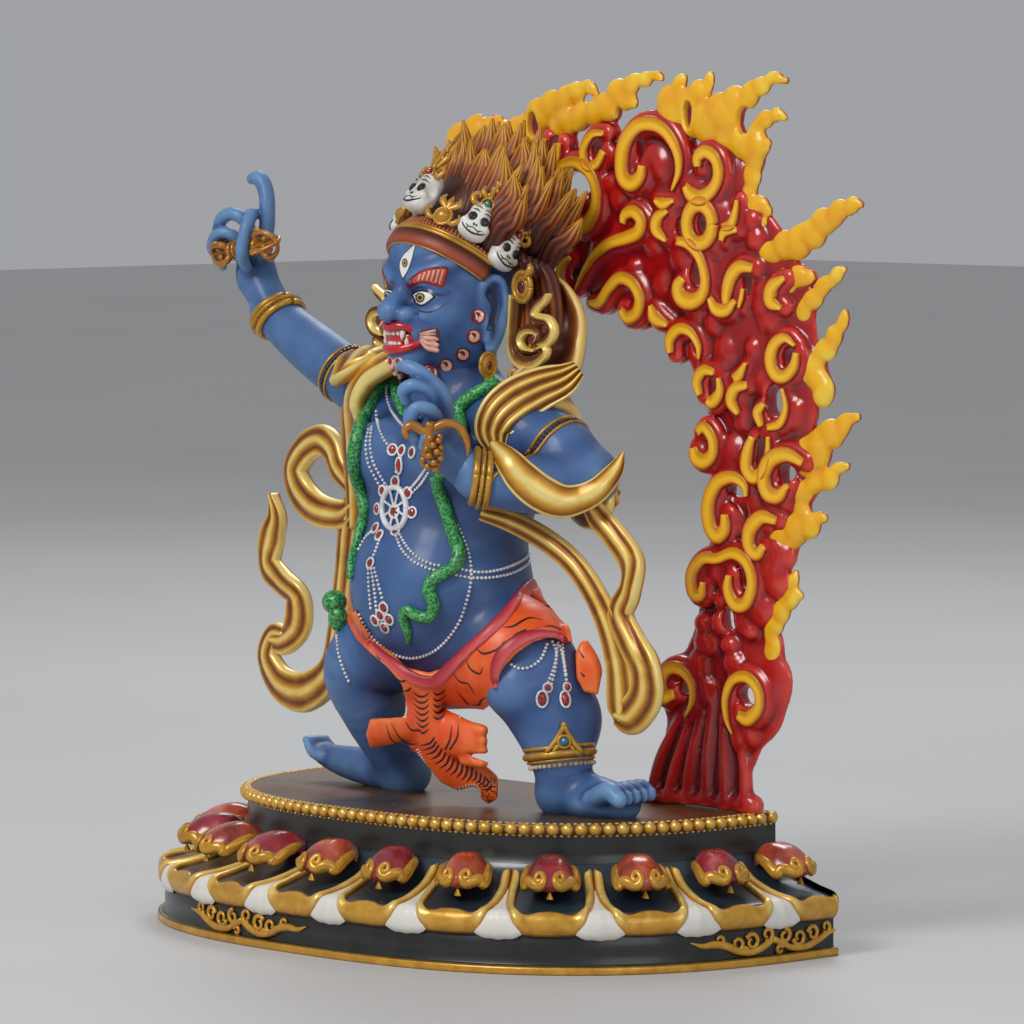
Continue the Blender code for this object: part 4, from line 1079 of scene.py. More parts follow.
def sculpt_head(clay):
    def ball(a, f, u, radii, soft=2.0, carve=False):
        for side in ((-1, 1) if a else (1,)):
            clay.ball(head_at(side * a, f, u), radii, HEAD_SPIN, soft, carve)

    def tube(points, radii, soft=1.5, carve=False, both=True, flat=1.0, across=(0.0, 1.0, 0.0)):
        for side in ((-1, 1) if both else (1,)):
            clay.tube(head_path(points, side), radii, flat, across, soft, carve)

    clay.tube([(-2, 15, 196), (-1, 13, 222)], [16.5, 16], soft=3)
    ball(0, 0, 2, (24, 23.5, 27))
    ball(0, 5, -14, (20.5, 18.5, 16), soft=7)
    ball(0, 12, 14, (16, 11, 12), soft=6)
    ball(12.5, 12.5, -9, (8.8, 8.5, 8.5), soft=5)
    ball(15, 1, -17, (7, 9, 8), soft=6)
    tube([(3, 20.5, 2.0), (9, 21.4, 5), (15.5, 17.6, 8), (19, 12.5, 10.5)], [2.6, 3.0, 2.6, 1.6], soft=4)
    ball(10.4, 23.5, -2.0, (6.4, 3.6, 3.6), soft=3, carve=True)
    tube([(4.0, 25.5, 1.4), (3.6, 26, -2)], [1.0, 1.2], soft=3, carve=True)
    ball(10.6, 15.0, -2.4, (7.4, 7.4, 5.6), soft=1.4)
    tube([(4.6, 20.4, -1.0), (7.5, 21.8, 1.9), (11.5, 21.4, 2.6), (16, 17.4, 1.2), (19, 14, .8)],
         [0.7, 1.0, 1.1, 0.9, 0.4], soft=1.0)
    tube([(5.2, 20.4, -5.4), (9, 21.0, -7.4), (13, 19.4, -7.2), (17.4, 15.4, -4.6)], [0.7, 1.0, 1.0, 0.5],
         soft=1.4)
    tube([(6, 21.4, -8), (11, 21.4, -9.4), (16.5, 17, -7.6), (19.5, 12, -4)], [1.2, 1.8, 1.7, 0.6], soft=2)
    tube([(0, 20.5, 4), (0, 23, -1), (0, 26.5, -5.5), (0, 28, -7.6)], [3.4, 3.2, 4.2, 4.7], soft=2.5,
         both=False)
    ball(0, 27.8, -7.8, (5.2, 4.8, 4.2), soft=1.5)
    ball(5.8, 24.6, -9.0, (3.6, 4.4, 3.1), soft=1.6)
    tube([(9.6, 22.4, -9.0), (11.0, 21.6, -12), (11.6, 20, -14)], [0.6, 0.8, 0.4], soft=2.4, carve=True)
    ball(3.0, 28.2, -12.0, (1.4, 1.8, 1.2), soft=0.8, carve=True)
    ball(0, 19.5, -15, (12, 7.5, 7), soft=4)
    ball(0, 19.5, -24.5, (9.5, 7.5, 6), soft=4)
    ball(0, 27.4, -17.8, (9.4, 6.6, 5.0), soft=1.4, carve=True)
    ball(0, 22.4, 11, (2.4, 1.0, 5.4), soft=1.5)
    tube([(22.6, 3.6, -3), (23.6, 3.0, 1.6), (25.0, -.5, 4.4), (26.0, -4.2, 2.6), (26.2, -5.6, -3),
          (25.6, -5.0, -10), (25.0, -3.4, -16), (24.6, -.6, -21)], [1.2, 1.5, 1.7, 1.8, 1.8, 1.9, 2.3, 2.6],
         soft=1.2)
    ball(23.4, -1.0, -6.0, (2.2, 5.0, 10.5), soft=2.5)
    tube([(24.6, 2.4, -10), (24.6, 1.4, -14), (24.4, 1.0, -18)], [1.4, 1.8, 2.0], soft=1.4)
    tube([(25.2, .6, -.5), (26.4, -1.8, -1.4), (26.4, -2.6, -6), (26.0, -.8, -12)], [.9, 1.3, 1.2, .8],
         soft=1.0, carve=True)


# Painted shade, base and painted highlight blues of the skin and face
BLUES = ((.008, .018, .075), (.040, .110, .30), (.17, .34, .60))


def build_body():
    skin = hand_painted("blue_skin", *BLUES, -1.1, 1.6, 0.36, 0.15, 38)
    face = hand_painted("blue_face", *BLUES, -.9, 1.0, 0.36, 0.15, 60)
    body = Clay((-114, -30, 49), (86, 50, 246), 0.95)
    sculpt_body(body)
    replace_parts(body.make("body", skin, 14), "figure")
    for name, sculpt, low, high, cell in (
            ("left_foot", sculpt_left_foot, (44, -8, 49), (106, 34, 80), 0.7),
            ("right_hand", sculpt_right_hand, (-138, -5, 222), (-94, 28, 288), 0.55),
            ("left_hand", sculpt_left_hand, (4, -50, 166), (52, -6, 226), 0.55),
            ("head", sculpt_head, (-34, -26, 204), (32, 44, 272), 0.5)):
        clay = Clay(low, high, cell)
        sculpt(clay)
        clay.make(name, face, 12)


# Hair, swept up and back in pointed locks

# From the front ring to the back one: number of locks, forward and up of the roots, height of the locks
HAIR_RINGS = ((19, 5, 22, 22), (19, -4, 25, 27), (17, -12, 22, 28), (15, -19, 15, 24))


def build_hair():
    core = Batch()
    core.ball(head_at(0, -14, 20), (23, 22, 26), cuts=14, mark=0.15)
    locks = Batch()
    rng = np.random.default_rng(7)
    for ring, (count, root_f, root_u, high) in enumerate(HAIR_RINGS):
        for k in range(count):
            share = -1 + 2 * k / (count - 1)
            turn = share * math.radians(86)
            jitter = rng.uniform(-1, 1, 3)
            side, top = math.sin(turn), math.cos(turn)
            root = head_at(22 * side, root_f + 3 * top - 6, root_u + 6 * top - 7)
            middle = head_at(27 * side, root_f - 9, root_u + (high - 10) * top ** 0.7)
            bend = head_at((31 + jitter[1]) * side, root_f - 13, root_u + (high - 2) * top ** 0.8 + 3)
            end = head_at((33 + 3 * jitter[0]) * side, root_f - 14 - ring + 3 * jitter[1],
                          root_u + high * top ** 0.8 + 11 + 3 * jitter[2])
            locks.lock([root, middle, bend, end], [4.6, 5.2, 3.5, 0.5], ridges=9, depth=0.10, twist=0.7)
    for k in range(5):
        out = 31.5 + 3.2 * k
        locks.lock([(out - 3, 19, 255 - k), (out, 20, 244), (out + 1, 20, 230), (out - 3, 18, 213 + k)],
                   [2.6, 3.4, 3.4, 1.6], ridges=6, depth=0.12, twist=0.4)
    look = Look("hair_paint", 0.45)
    root_to_tip = look.math("ADD", look.value("mark"), look.math("MULTIPLY", look.noise(240, 3.0), 0.18))
    warm = look.ramp(root_to_tip, [(.12, (.055, .008, .003)), (.50, (.18, .028, .006)),
                                   (.76, (.50, .12, .010)), (1.0, (.86, .40, .02))])
    shade = look.span(look.value("groove"), -1.1, 0.7)
    look.colour(look.mix(shade, (.030, .005, .002), warm))
    core.make("hair_core", look.material)
    locks.make("hair_locks", look.material)


# Scarf and skirt

def cloth_gold(name):
    look = Look(name, 0.36, metallic=0.25, coat=0.2)
    fold = look.span(look.value("groove"), -1.1, 1.1)
    shade = look.math("ADD", fold, look.uneven(0.6, 70, 4.0, 0.8))
    look.colour(look.ramp(shade, [(.08, (.17, .045, .004)), (.38, (.52, .22, .016)), (.66, (.76, .42, .045)),
                                  (.95, (.98, .76, .26))]))
    look.bump(look.noise(420, 2.0), 0.1, 0.0004)
    return look.material


def draped(cloth, ground, rows, thick, folds, depth, stand=2.4):
    """A ribbon laid in front of the forms from rows of picture x, y and half width."""
    ahead = unit(sight(VIEW_CENTRE, VIEW_CENTRE))
    rays = np.array([sight(x, y) for x, y, width in rows], dtype=float)
    found = [ground.seen(x, y)[0] for x, y, width in rows]
    hits = np.array([k for k, spot in enumerate(found) if spot is not None])
    reach = np.array([(found[k] - EYE) @ ahead for k in hits])
    reach = np.interp(np.arange(len(rows)), hits, reach)
    after, before = np.append(reach[1:], reach[-1]), np.insert(reach[:-1], 0, reach[0])
    near = np.minimum(reach, np.minimum(after, before))
    points = np.array(EYE) + rays * ((0.5 * reach + 0.5 * near - stand) / (rays @ ahead))[:, None]
    cloth.ribbon(points, [width for x, y, width in rows], thick, -ahead, folds=folds, depth=depth)


def arch_lining():
    """Dark red inside the arch of the scarf, gilt along its edges."""
    look = Look("arch_lining", 0.4, coat=0.2)
    edge = look.math("ABSOLUTE", look.value("mark"), 0.0)
    shade = look.math("ADD", edge, look.uneven(0.3, 60, 4.0, 0.8))
    look.colour(look.ramp(shade, [(.10, (.075, .014, .004)), (.50, (.20, .050, .010)), (.74, (.40, .15, .02)),
                                  (.84, (.95, .72, .24))]))
    return look.material


def build_scarf():
    cloth, arch = Batch(), Batch()
    limbs = Ground("body")
    sling = [(862, 345, 2.6), (930, 420, 5.0), (1005, 510, 6.4), (1095, 585, 6.8), (1200, 632, 6.4),
             (1300, 622, 5.4), (1400, 572, 4.6), (1490, 470, 3.2), (1530, 385, .8)]
    draped(cloth, limbs, uncropped(TORSO_CROP, sling), 2.0, 1, .35)
    pleats = [(1300, -60, 3.4), (1215, 0, 6.4), (1090, 50, 8.2), (980, 108, 9.0), (895, 182, 8.6),
              (852, 266, 7.0), (866, 352, 4.0)]
    draped(cloth, limbs, uncropped(TORSO_CROP, pleats), 2.0, 4, .5)
    cloth.ribbon([(-16, 0, 216), (-32, 3, 211), (-44, 4, 201), (-47, 7, 184), (-50, 11, 164), (-52, 13, 150)],
                 [6, 11.5, 13, 9.5, 7, 6.5], 4.0,
                 [(-.3, -.6, .8), (-.4, -.6, .7), (-.5, -.8, .3), (-.3, -1, 0),
                  (-.2, -1, 0), (-.2, -1, 0)], folds=2)
    cloth.ribbon([(-52, 26, 206), (-50, 34, 196), (-48, 34, 176), (-50, 22, 160)], [10, 9, 7, 6], 3.0,
                 (-.4, 1, 0), folds=2)
    cloth.ribbon([(-40, -2, 211), (-46, 12, 216), (-50, 26, 208)], [12, 12, 10], 3.0,
                 [(-.4, -.5, .8), (-.2, 0, 1), (-.4, .7, .5)], folds=2)
    cloth.ribbon([(-54, 13, 158), (-62, 14, 154), (-77, 15, 155), (-88, 16, 161), (-92, 16, 170),
                  (-86, 16, 178), (-77, 16, 182), (-69, 15, 179), (-64, 14, 172), (-56, 13, 166)],
                 [4, 5.5, 6.5, 7, 7, 6.5, 6, 6, 5.5, 4], 3.2, (-.25, -1, .1), folds=2)
    cloth.ribbon([(-50, 13, 168), (-58, 14, 152), (-62, 15, 132), (-67, 16, 110), (-73, 17, 93),
                  (-88, 18, 84), (-102, 18, 86), (-110, 18, 96), (-106, 18, 105), (-98, 17, 106)],
                 [6, 6.5, 6, 6, 7, 8, 7.5, 6, 4.6, 3], 3.0, (-.2, -1, 0), folds=2)
    cloth.ribbon([(-107, 18, 103), (-98, 16, 103), (-90, 15, 110), (-90, 15, 121), (-99, 16, 126),
                  (-108, 17, 132), (-107, 17, 143), (-104, 17, 151), (-106, 17, 160)],
                 [3.5, 5.5, 6, 5.5, 5.5, 5.5, 5.5, 4, 0.6], 2.8,
                 [(-.2, -1, 0), (0, -1, .3), (.3, -1, 0), (.2, -1, -.3), (-.3, -1, 0), (-.2, -1, .3),
                  (.3, -1, 0), (.1, -1, 0), (0, -1, 0)], folds=2)
    arch.ribbon([(27, 27, 243), (38, 27, 243), (48, 25, 234), (50, 22, 222), (47, 18, 211), (40, 11, 204)],
                [3, 4.5, 6.5, 8.5, 10.5, 10], 3.2,
                [(.2, -1, .4), (.3, -1, .4), (.5, -1, 0), (.3, -1, .2), (.3, -.9, .5),
                 (.3, -.8, .7)], folds=1, depth=-.45, curl=0.3)
    cloth.ribbon([(36, 8, 205), (44, 22, 204), (38, 34, 196), (34, 38, 180), (46, 32, 166), (64, 24, 162),
                  (78, 18, 167)], [11, 11, 10, 8, 8, 8, 5], 3.0,
                 [(.4, -.6, .8), (.6, .3, .8), (.4, 1, .3), (.2, 1, 0), (.4, 1, -.2), (.5, .9, -.4),
                  (.6, .6, -.3)],
                 folds=2)
    cloth.ribbon([(72, 12, 168), (76, 14, 160), (84, 15, 153), (91, 16, 144), (90, 16, 134), (85, 16, 125),
                  (91, 16, 115), (98, 16, 106), (98, 16, 96), (91, 16, 88), (84, 16, 88)],
                 [3, 4.6, 5, 5.2, 5.4, 5.2, 5.6, 6.8, 7.2, 7, 4], 2.8,
                 [(.3, -1, 0), (.3, -1, .3), (.3, -1, 0), (0, -1, .3), (-.3, -1, 0), (.3, -1, .2),
                  (.4, -1, 0), (0, -1, 0), (.2, -1, 0), (.2, -1, 0), (.2, -1, 0)], folds=2)
    cloth.ribbon([(34, -6, 161), (43, 3, 157), (54, 10, 150), (67, 12, 141), (78, 14, 126), (85, 15, 108),
                  (86, 16, 92), (86, 16, 86)], [3, 4.2, 4.4, 4.4, 4.6, 5.4, 6.2, 3], 2.6, (.25, -1, .1),
                 folds=2)
    cloth.make("scarf", cloth_gold("scarf_gold"))
    arch.make("scarf_arch", arch_lining())


# The pink hems, as rows read on the legs and half widths
HEM = (([(330, 300), (380, 350), (440, 395), (500, 440), (560, 462), (610, 452), (670, 395), (740, 325),
         (810, 262), (870, 205), (930, 130), (990, 72), (1050, 30)],
        [1, 1.6, 2.0, 2.3, 2.4, 2.4, 2.4, 2.3, 2.3, 2.3, 2.3, 2.4, 2.4]),
       ([(852, 490), (846, 440), (856, 390), (884, 340), (930, 300), (990, 272), (1050, 262), (1110, 272),
         (1150, 300)],
        [.8, 1.8, 2.4, 2.6, 2.5, 2.2, 1.9, 1.6, .8]))

# The hide as the photo shows it, read on the hips: the skirt with its hanging mask,
# and the part behind the knee
HIDE_OUTLINES = (
    [(1062, 46), (1088, 110), (1112, 180), (1142, 250), (1150, 296), (1080, 272), (1010, 292), (950, 332),
     (905, 382), (880, 430), (876, 480), (852, 520), (812, 550), (764, 566), (838, 580), (852, 610),
     (846, 640), (850, 690), (764, 690), (790, 702), (850, 720), (886, 768), (882, 850), (850, 870),
     (826, 852), (806, 804), (740, 822), (680, 792), (622, 722), (590, 684), (530, 680), (428, 670),
     (414, 622), (428, 566), (552, 560), (556, 500), (540, 440), (492, 384), (430, 332), (380, 284),
     (348, 222), (344, 192), (378, 180), (402, 232), (440, 288), (500, 326), (560, 384), (640, 402),
     (700, 380), (780, 308), (850, 240), (930, 160), (1000, 98)],
    [(1160, 330), (1178, 292), (1212, 274), (1242, 304), (1256, 400), (1240, 482), (1190, 470), (1164, 420)])


def picture_place(clay):
    """Pixel and distance from the eye of each point of a clay's grid."""
    offset = [(axis - EYE[k]).astype(np.float32).reshape([-1 if k == n else 1 for n in range(3)])
              for k, axis in enumerate(clay.axes)]
    right, up, away = [sum(offset[k] * np.float32(sign * turn[k]) for k in range(3))
                       for turn, sign in ((VIEW_RIGHT, 1), (VIEW_UP, 1), (VIEW_BACK, -1))]
    return VIEW_CENTRE + VIEW_FOCUS * right / away, VIEW_CENTRE - VIEW_FOCUS * up / away, away


def trim_to_picture(clay, outlines, depth):
    """Cut a clay's nearer side to outlines in the picture plane, as far as a depth from the eye."""
    px, py, away = picture_place(clay)
    outside = np.full(px.shape, 1e6, dtype=np.float32)
    for outline in outlines:
        edge = np.array(uncropped(HIPS_CROP, outline), dtype=np.float32)
        reach = np.full(px.shape, 1e6, dtype=np.float32)
        inside = np.zeros(px.shape, dtype=bool)
        for a, b in zip(edge, np.roll(edge, -1, 0)):
            run = b - a
            share = np.clip(((px - a[0]) * run[0] + (py - a[1]) * run[1]) / (run @ run), 0, 1)
            reach = np.minimum(reach, (px - a[0] - share * run[0]) ** 2 + (py - a[1] - share * run[1]) ** 2)
            if a[1] != b[1]:
                crossed = (a[1] > py) != (b[1] > py)
                inside ^= crossed & (px < a[0] + (py - a[1]) * run[0] / run[1])
        outside = np.minimum(outside, np.sqrt(reach) * np.where(inside, -1, 1))
    clay.field = np.maximum(clay.field, np.minimum(outside * away / VIEW_FOCUS, depth - away))


def wrap_hips(hide, hips, depth):
    """Carry the skin round the hips as a thin layer over the body, also where the photo can't see."""
    sculpt_body(hips)
    away = picture_place(hips)[2]
    x, z = hips.axes[0].reshape(-1, 1, 1), hips.axes[2].reshape(1, 1, -1)
    hem = 99 + 3 * np.sin(x / 6)
    layer = np.maximum(hips.field - 1.5, np.maximum(z - 131, hem - z))
    hide.field = np.minimum(hide.field, np.maximum(layer, depth - away).astype(np.float32))


def build_skirt():
    hide, hips = [Clay((-62, -42, 48), (78, 42, 134), 0.8) for _ in range(2)]
    hide.ball((0, 15, 110), (36.5, 26.5, 20))
    hide.ball((-3, 2, 100), (34, 27, 15), soft=5)
    hide.tube([(10, 6, 112), (36, 6, 108), (50, 8, 102)], [24.5, 22.5, 18.5], soft=5)
    hide.tube([(2, -11, 98), (4, -9, 84), (10, -5, 70), (20, 0, 62), (30, 4, 57), (31, 5, 52.5)],
              [19, 15, 12.4, 9, 6.4, 4], flat=0.36, across=(.3, 1, .1), soft=3)
    hide.tube([(0, -12, 82), (-14, -10, 79), (-25, -9, 77)], [7.5, 8, 8], flat=0.62, soft=2)
    for k in range(4):
        hide.tube([(-24, -10, 83.2 - 4.3 * k), (-30, -9.5, 83.5 - 4.4 * k)], [2.7, 2.3], soft=0.8)
    hide.tube([(8, -10, 82), (20, -8, 78), (29, -7, 75.5)], [6.6, 7.8, 7.4], flat=0.62, soft=2)
    for k in range(4):
        hide.tube([(28, -8, 81 - 4.0 * k), (36, -7, 80.4 - 4.0 * k)], [2.5, 2.2], soft=0.6)
    hide.tube([(-50, 15, 102), (-55, 17, 95), (-60, 18, 87)], [5, 7, 7.4], flat=0.5, soft=2)
    hide.tube([(60, 14, 114), (66, 15, 104), (69, 16, 94)], [6, 8.4, 7], flat=0.6, soft=2)
    hide.ball((-2, 8, 129), (37.2, 34.4, 22), soft=3)
    hide.ball((0, 10, 194), (80, 80, 58), soft=1.0, carve=True)
    wrap_hips(hide, hips, 2340.0)
    trim_to_picture(hide, HIDE_OUTLINES, 2390.0)
    look = Look("tiger_skin", 0.42, coat=0.1)
    shade = look.math("ADD", look.span(look.value("relief"), -.8, .8), look.uneven(.6, 150, 4.0))
    look.colour(look.ramp(shade, [(.1, (.42, .028, .006)), (.5, (.86, .085, .010)), (.9, (.95, .20, .035))]))
    hide.make("tiger_skin", look.material, 8)
    laid = Ground("tiger_skin", "body")
    hem = Batch()
    for rows, widths in HEM:
        path = flat_path(uncropped(LEGS_CROP, rows), widths, 4)
        spots, lifts, sizes = [], [], []
        for px, py, _, width in path:
            spot, normal = laid.seen(px, py, 0.3)
            if spot is not None:
                spots.append(spot)
                lifts.append(normal)
                sizes.append(width)
        hem.ribbon(spots, sizes, 1.0, lifts, folds=1, depth=0.15, per_span=2)
    pink = Look("hem_pink", 0.42, coat=0.1)
    # Darker along one edge and lighter along the other: painted shade and highlight across the hem
    pink.colour(pink.ramp(pink.span(pink.value("mark"), -1.1, 1.1),
                          [(.1, (.30, .012, .022)), (.5, (.56, .035, .050)), (.95, (.76, .14, .15))]))
    hem.make("skirt_hems", pink.material)


# Flame aureole: a red slab, yellow tongues on its rim and yellow curls on its front

# A row of the trunk, a tongue, a curl or a fold is x, z and half width; a lobe is x, z and radius;
# a hole is x, z, half width and half height
FIRE_Y = 60.5
FIRE_HALF = 3.7
FIRE_TRUNK = [(84, 50, 26), (86, 70, 23), (92, 88, 25), (97, 108, 20), (103, 128, 20), (108, 148, 21),
              (111, 168, 22), (112, 188, 25), (112, 208, 28), (108, 226, 33), (98, 243, 34), (80, 255, 34),
              (60, 266, 30), (40, 274, 24), (22, 281, 14)]
FIRE_LOBES = [(75, 93, 13), (110, 92, 16), (24, 262, 19), (58, 288, 17), (90, 282, 16), (36, 250, 16),
              (125, 215, 15), (66, 243, 13), (52, 240, 13), (128, 200, 13), (124, 176, 13), (120, 154, 10),
              (118, 100, 11)]
TONGUES = [
    [(-46, 296, 6), (-39, 300, 5), (-36, 305, 2)],
    [(-36, 298, 7), (-27, 300, 5), (-25, 305, 2)],
    [(-28, 296, 6), (-14, 299, 6), (-4, 305, 6), (4, 310, 5), (14, 314, 4), (22, 317, 3), (27, 315.5, 2)],
    [(8, 303, 5), (24, 307, 4.5), (33, 311, 4), (40, 315, 4.4), (50, 319.3, 3.2), (58, 321.2, 2.2),
     (63, 320.6, 1.6)],
    [(32, 308, 5), (40, 311, 4), (47, 312, 3)],
    [(63, 304, 4), (66, 311, 5), (70, 316, 4), (74, 320.6, 2)],
    [(68, 308, 6), (79, 313, 5), (85, 317, 3.3), (88, 322, 1.8)],
    [(80, 305, 6), (92, 306, 8), (101, 311, 5.5), (110, 316, 3.8), (119, 320.4, 2.5), (126, 320, 1.6)],
    [(96, 299, 6), (105, 299, 3.6), (113, 303.5, 3.4), (120, 307.4, 2.7), (125, 306, 1.7)],
    [(101, 306, 2.4), (99, 300, 4), (108, 297, 6), (114, 295.5, 3.4), (117, 297, 1.8)],
    [(108, 296, 5), (110, 288, 4), (108, 280, 3.4), (109, 273, 3.6), (114, 275, 3.6), (117, 272, 2)],
    [(104, 266, 2.6), (111, 266, 3.4), (115, 268, 2)],
    [(117, 257, 4), (126, 259, 5), (134, 262, 5.5), (143, 267, 4.8), (152, 272, 4), (160, 275.6, 2.6),
     (164, 274.6, 1.4)],
    [(126, 247, 5), (138, 249, 3)],
    [(135, 236, 3.6), (139, 240, 3.6), (145, 245, 3.2), (151, 249.4, 2.7), (156, 252, 1.6)],
    [(136, 214, 5), (141, 218, 4), (147, 223, 4), (152, 229, 3.2), (155, 234, 2.4), (156, 237, 1.4)],
    [(138, 215, 4), (145, 209, 4.6), (145, 203, 3.6)],
    [(134, 183, 5), (140, 187, 5), (146, 190.4, 5.4), (153, 193.6, 4), (158.6, 198, 2.6), (162.6, 199, 1.5)],
    [(143, 187, 5), (141, 181, 4.6), (135, 179, 3.4)],
    [(134, 170, 3.6), (139, 173, 3.4), (146, 174.6, 3.8), (152, 179, 2.6), (158, 181.4, 1.5)],
    [(136, 170, 4), (134, 164, 3.6), (137, 160, 3.8)],
    [(120, 150, 4.6), (128, 154, 5.6), (136, 157.6, 4.8), (142, 160.4, 3), (147, 161.6, 1.2)],
    [(127, 152, 3.6), (125, 144, 3.2), (121, 138, 4), (126, 135, 3.8), (131, 139, 2), (131.6, 142, 1)],
    [(120, 109, 3.6), (120, 118, 3.6), (125, 126, 3.6), (131, 132, 2.8), (135, 131.6, 1.6)],
]
CURLS = [
    [(72, 279, .5), (75.5, 286, 1.4), (75, 293, 1.9), (70, 300, 2.2), (63, 303.4, 2.3), (55, 303, 2.5),
     (48.5, 298, 2.8), (46, 291, 2.9), (46.6, 284, 2.8), (51, 281.4, 2.7), (55.6, 284, 2.3),
     (56.6, 288, 1.7)],
    [(79, 281, 1.6), (82, 278, 2.5), (87, 276.6, 2.6), (93, 279.6, 2.2), (96, 285, 2.2), (94.6, 291, 2.2),
     (89.6, 293.6, 2.2), (85.6, 291.6, 2.1), (85.4, 288, 1.6)],
    [(63, 275.6, .9), (67.5, 274.2, 2.1), (72.4, 275.4, .9)],
    [(69.4, 271.4, .9), (65, 269, 2.1), (64.2, 264.6, 2.4), (69, 260.6, .9)],
    [(21, 241, .4), (26, 248.4, 1.1), (32, 254.6, 1.7), (40, 259, 2), (48, 261, 2.2), (54.6, 263.4, 2.4),
     (56, 268, 2.3), (52, 271, 2.2), (47.6, 269.6, 1.9), (46.4, 266.4, 1.3)],
    [(74.6, 260.6, 1.5), (81, 259.4, 1.9), (86.6, 254.6, 1.9), (89.4, 247, 2), (88, 241, 2.3),
     (83, 238.4, 2.8), (77.4, 239.6, 3), (75.6, 243.6, 2.6), (77.6, 246.6, 1.6)],
    [(113, 251.4, 1.5), (107, 251.6, 2.3), (102.4, 247.4, 2.5), (100.4, 241, 2.1), (100.2, 237, 1.1)],
    [(91.6, 240, 1.2), (95, 236, 2.2), (100.4, 235.6, 2.1), (104.4, 239, 1.1)],
    [(108.6, 243.6, .8), (107.8, 240, 1.0), (106.4, 236.6, .6)],
    [(28, 236.4, .8), (34, 236.6, 1.9), (39, 242, 2), (45, 246, 2.1), (51.6, 244.4, 2.2), (55.4, 239, 2.2),
     (54, 233.4, 2.3), (49, 231.4, 2.2), (45.4, 234.4, 1.4)],
    [(129, 248, 1.1), (123.6, 244.6, 2.6), (123, 239.6, 2.7), (127.6, 237.4, 1.1)],
    [(134.6, 224, .8), (130, 226.4, 1.6), (125, 224, 2.2), (122.8, 218.6, 2.5), (125, 213.4, 2.5),
     (130, 212.4, 2.2), (134.4, 216, 2), (135.6, 221, 1.3)],
    [(71.6, 219, 1.5), (71.4, 224, 2.2), (76, 228, 2), (82, 227, 1.7), (86, 222, 1.3), (86, 217, .6)],
    [(61, 236.4, 1), (63.6, 232, 2.7), (69.6, 229.6, 1.2)],
    [(86.8, 204, 1.5), (85.4, 209, 2.1), (88.6, 213, 2), (93.6, 212.8, 1.3)],
    [(96.4, 210.6, 1.0), (97, 205.4, 1.8), (93.4, 201.6, 2.2), (90.4, 202.4, 1.4)],
    [(104, 210.4, 1.6), (107, 212, 1.9), (110, 216.4, .7)],
    [(110.4, 208.4, 1.4), (105, 207, 2.1), (103, 202.4, 2.4), (106.4, 198, 1.2)],
    [(119, 201.6, 1.2), (116.4, 198.6, 2.1), (118.2, 193.8, 1.3)],
    [(128.6, 208, .6), (130.4, 201, 1.2), (127.4, 195, 1.6), (121, 193.4, 1.1)],
    [(85.4, 190, 1.4), (89, 192.2, 2), (93, 188.6, 2), (93.6, 183, 2.1), (89.6, 179.6, 2.5), (85, 180.8, 2.7),
     (83.6, 184.4, 1.7)],
    [(113.6, 189.4, 1.4), (111.4, 184, 2.3), (110.8, 178.4, 2.5), (114.4, 175, 2.4), (119, 177.6, 1.8),
     (121.4, 184, 1.2), (121.6, 190, .8)],
    [(138.6, 181.6, 1.6), (131, 184, 2.4), (123, 181.6, 2.8), (119.6, 175.4, 2.8), (121.6, 169.6, 2.8),
     (127, 168.6, 2.4), (131, 172.4, 1.2)],
    [(110.6, 167.6, .9), (109.4, 172, 1.6), (103.6, 174.4, 2.1), (96, 172, 2.5), (91.6, 165, 2.7),
     (91.8, 157, 2.8), (95.6, 152.4, 2.7), (99.8, 155, 2.4), (99.8, 160.4, 1.7)],
    [(125.4, 159.6, 1.5), (118.6, 160.4, 2.4), (112.8, 155.6, 2.8), (112.4, 149.6, 2.6), (116.2, 146.8, 2.3),
     (119.4, 149.6, 1.4)],
    [(88.6, 134.6, 1.2), (87.4, 130, 2.1), (83.4, 131, 2.4), (83, 138, 2.4), (88.4, 143.4, 2), (96, 144, 1.8),
     (104, 146.4, 2), (111, 143.4, 2.2), (113.8, 136, 2.2), (111, 128.6, 2.3), (105.4, 127.6, 2.4),
     (101.6, 132.6, 2.2), (101.8, 138, 1.3)],
    [(73.4, 92, 1.7), (68, 91, 2.7), (66.6, 96.6, 2.6), (71, 101.4, 2.2), (77.4, 101.4, 2), (82.4, 97, 1.6),
     (83, 90.4, 1.2), (79.4, 84, .4)],
    [(106.6, 87, 1.7), (112, 85.8, 2.5), (117.4, 90.6, 2.1), (116.8, 97, 2), (111, 101.2, 2),
     (104, 99.4, 1.8), (100.2, 92.6, 1.5), (100.8, 85, 1.0), (103.6, 79.6, .4)],
    [(4.4, 297.6, 1.2), (3.2, 292, 1.7), (6.4, 287.6, 1.8), (11, 290, 1.7), (12.4, 296, 1.2)],
    [(35.6, 300, 1), (30, 299.4, 1.5), (25.6, 294, 1.8), (27, 288, 1.8), (32.4, 288.4, 1.7), (36, 293, 1.4)],
    [(10, 284, 1.3), (14.6, 288, 1.8), (22, 288.8, 2.1), (29, 285, 2.1), (32.4, 278, 2.1), (31.4, 270.6, 2.4),
     (26.4, 265.4, 2.8), (21.4, 266.8, 2.9), (19.8, 271.6, 2.3), (22, 274.4, 1.3)],
    [(18, 253, .8), (14.2, 250, 1.8), (13.4, 245, 1.9), (17, 241, .8)],
    [(98, 266, 1.2), (102.6, 267.2, 1.8), (104.8, 272, 1.4), (105.4, 276, .8)],
    [(97.4, 261, 1), (99.4, 264.4, 1.8), (105, 265.4, 1.2)],
]
FIRE_RING = [(86.6 + 6.6 * math.cos(a), 267 + 7.2 * math.sin(a), 2.5) for a in np.linspace(0, 2 * math.pi,
                                                                                           13)]
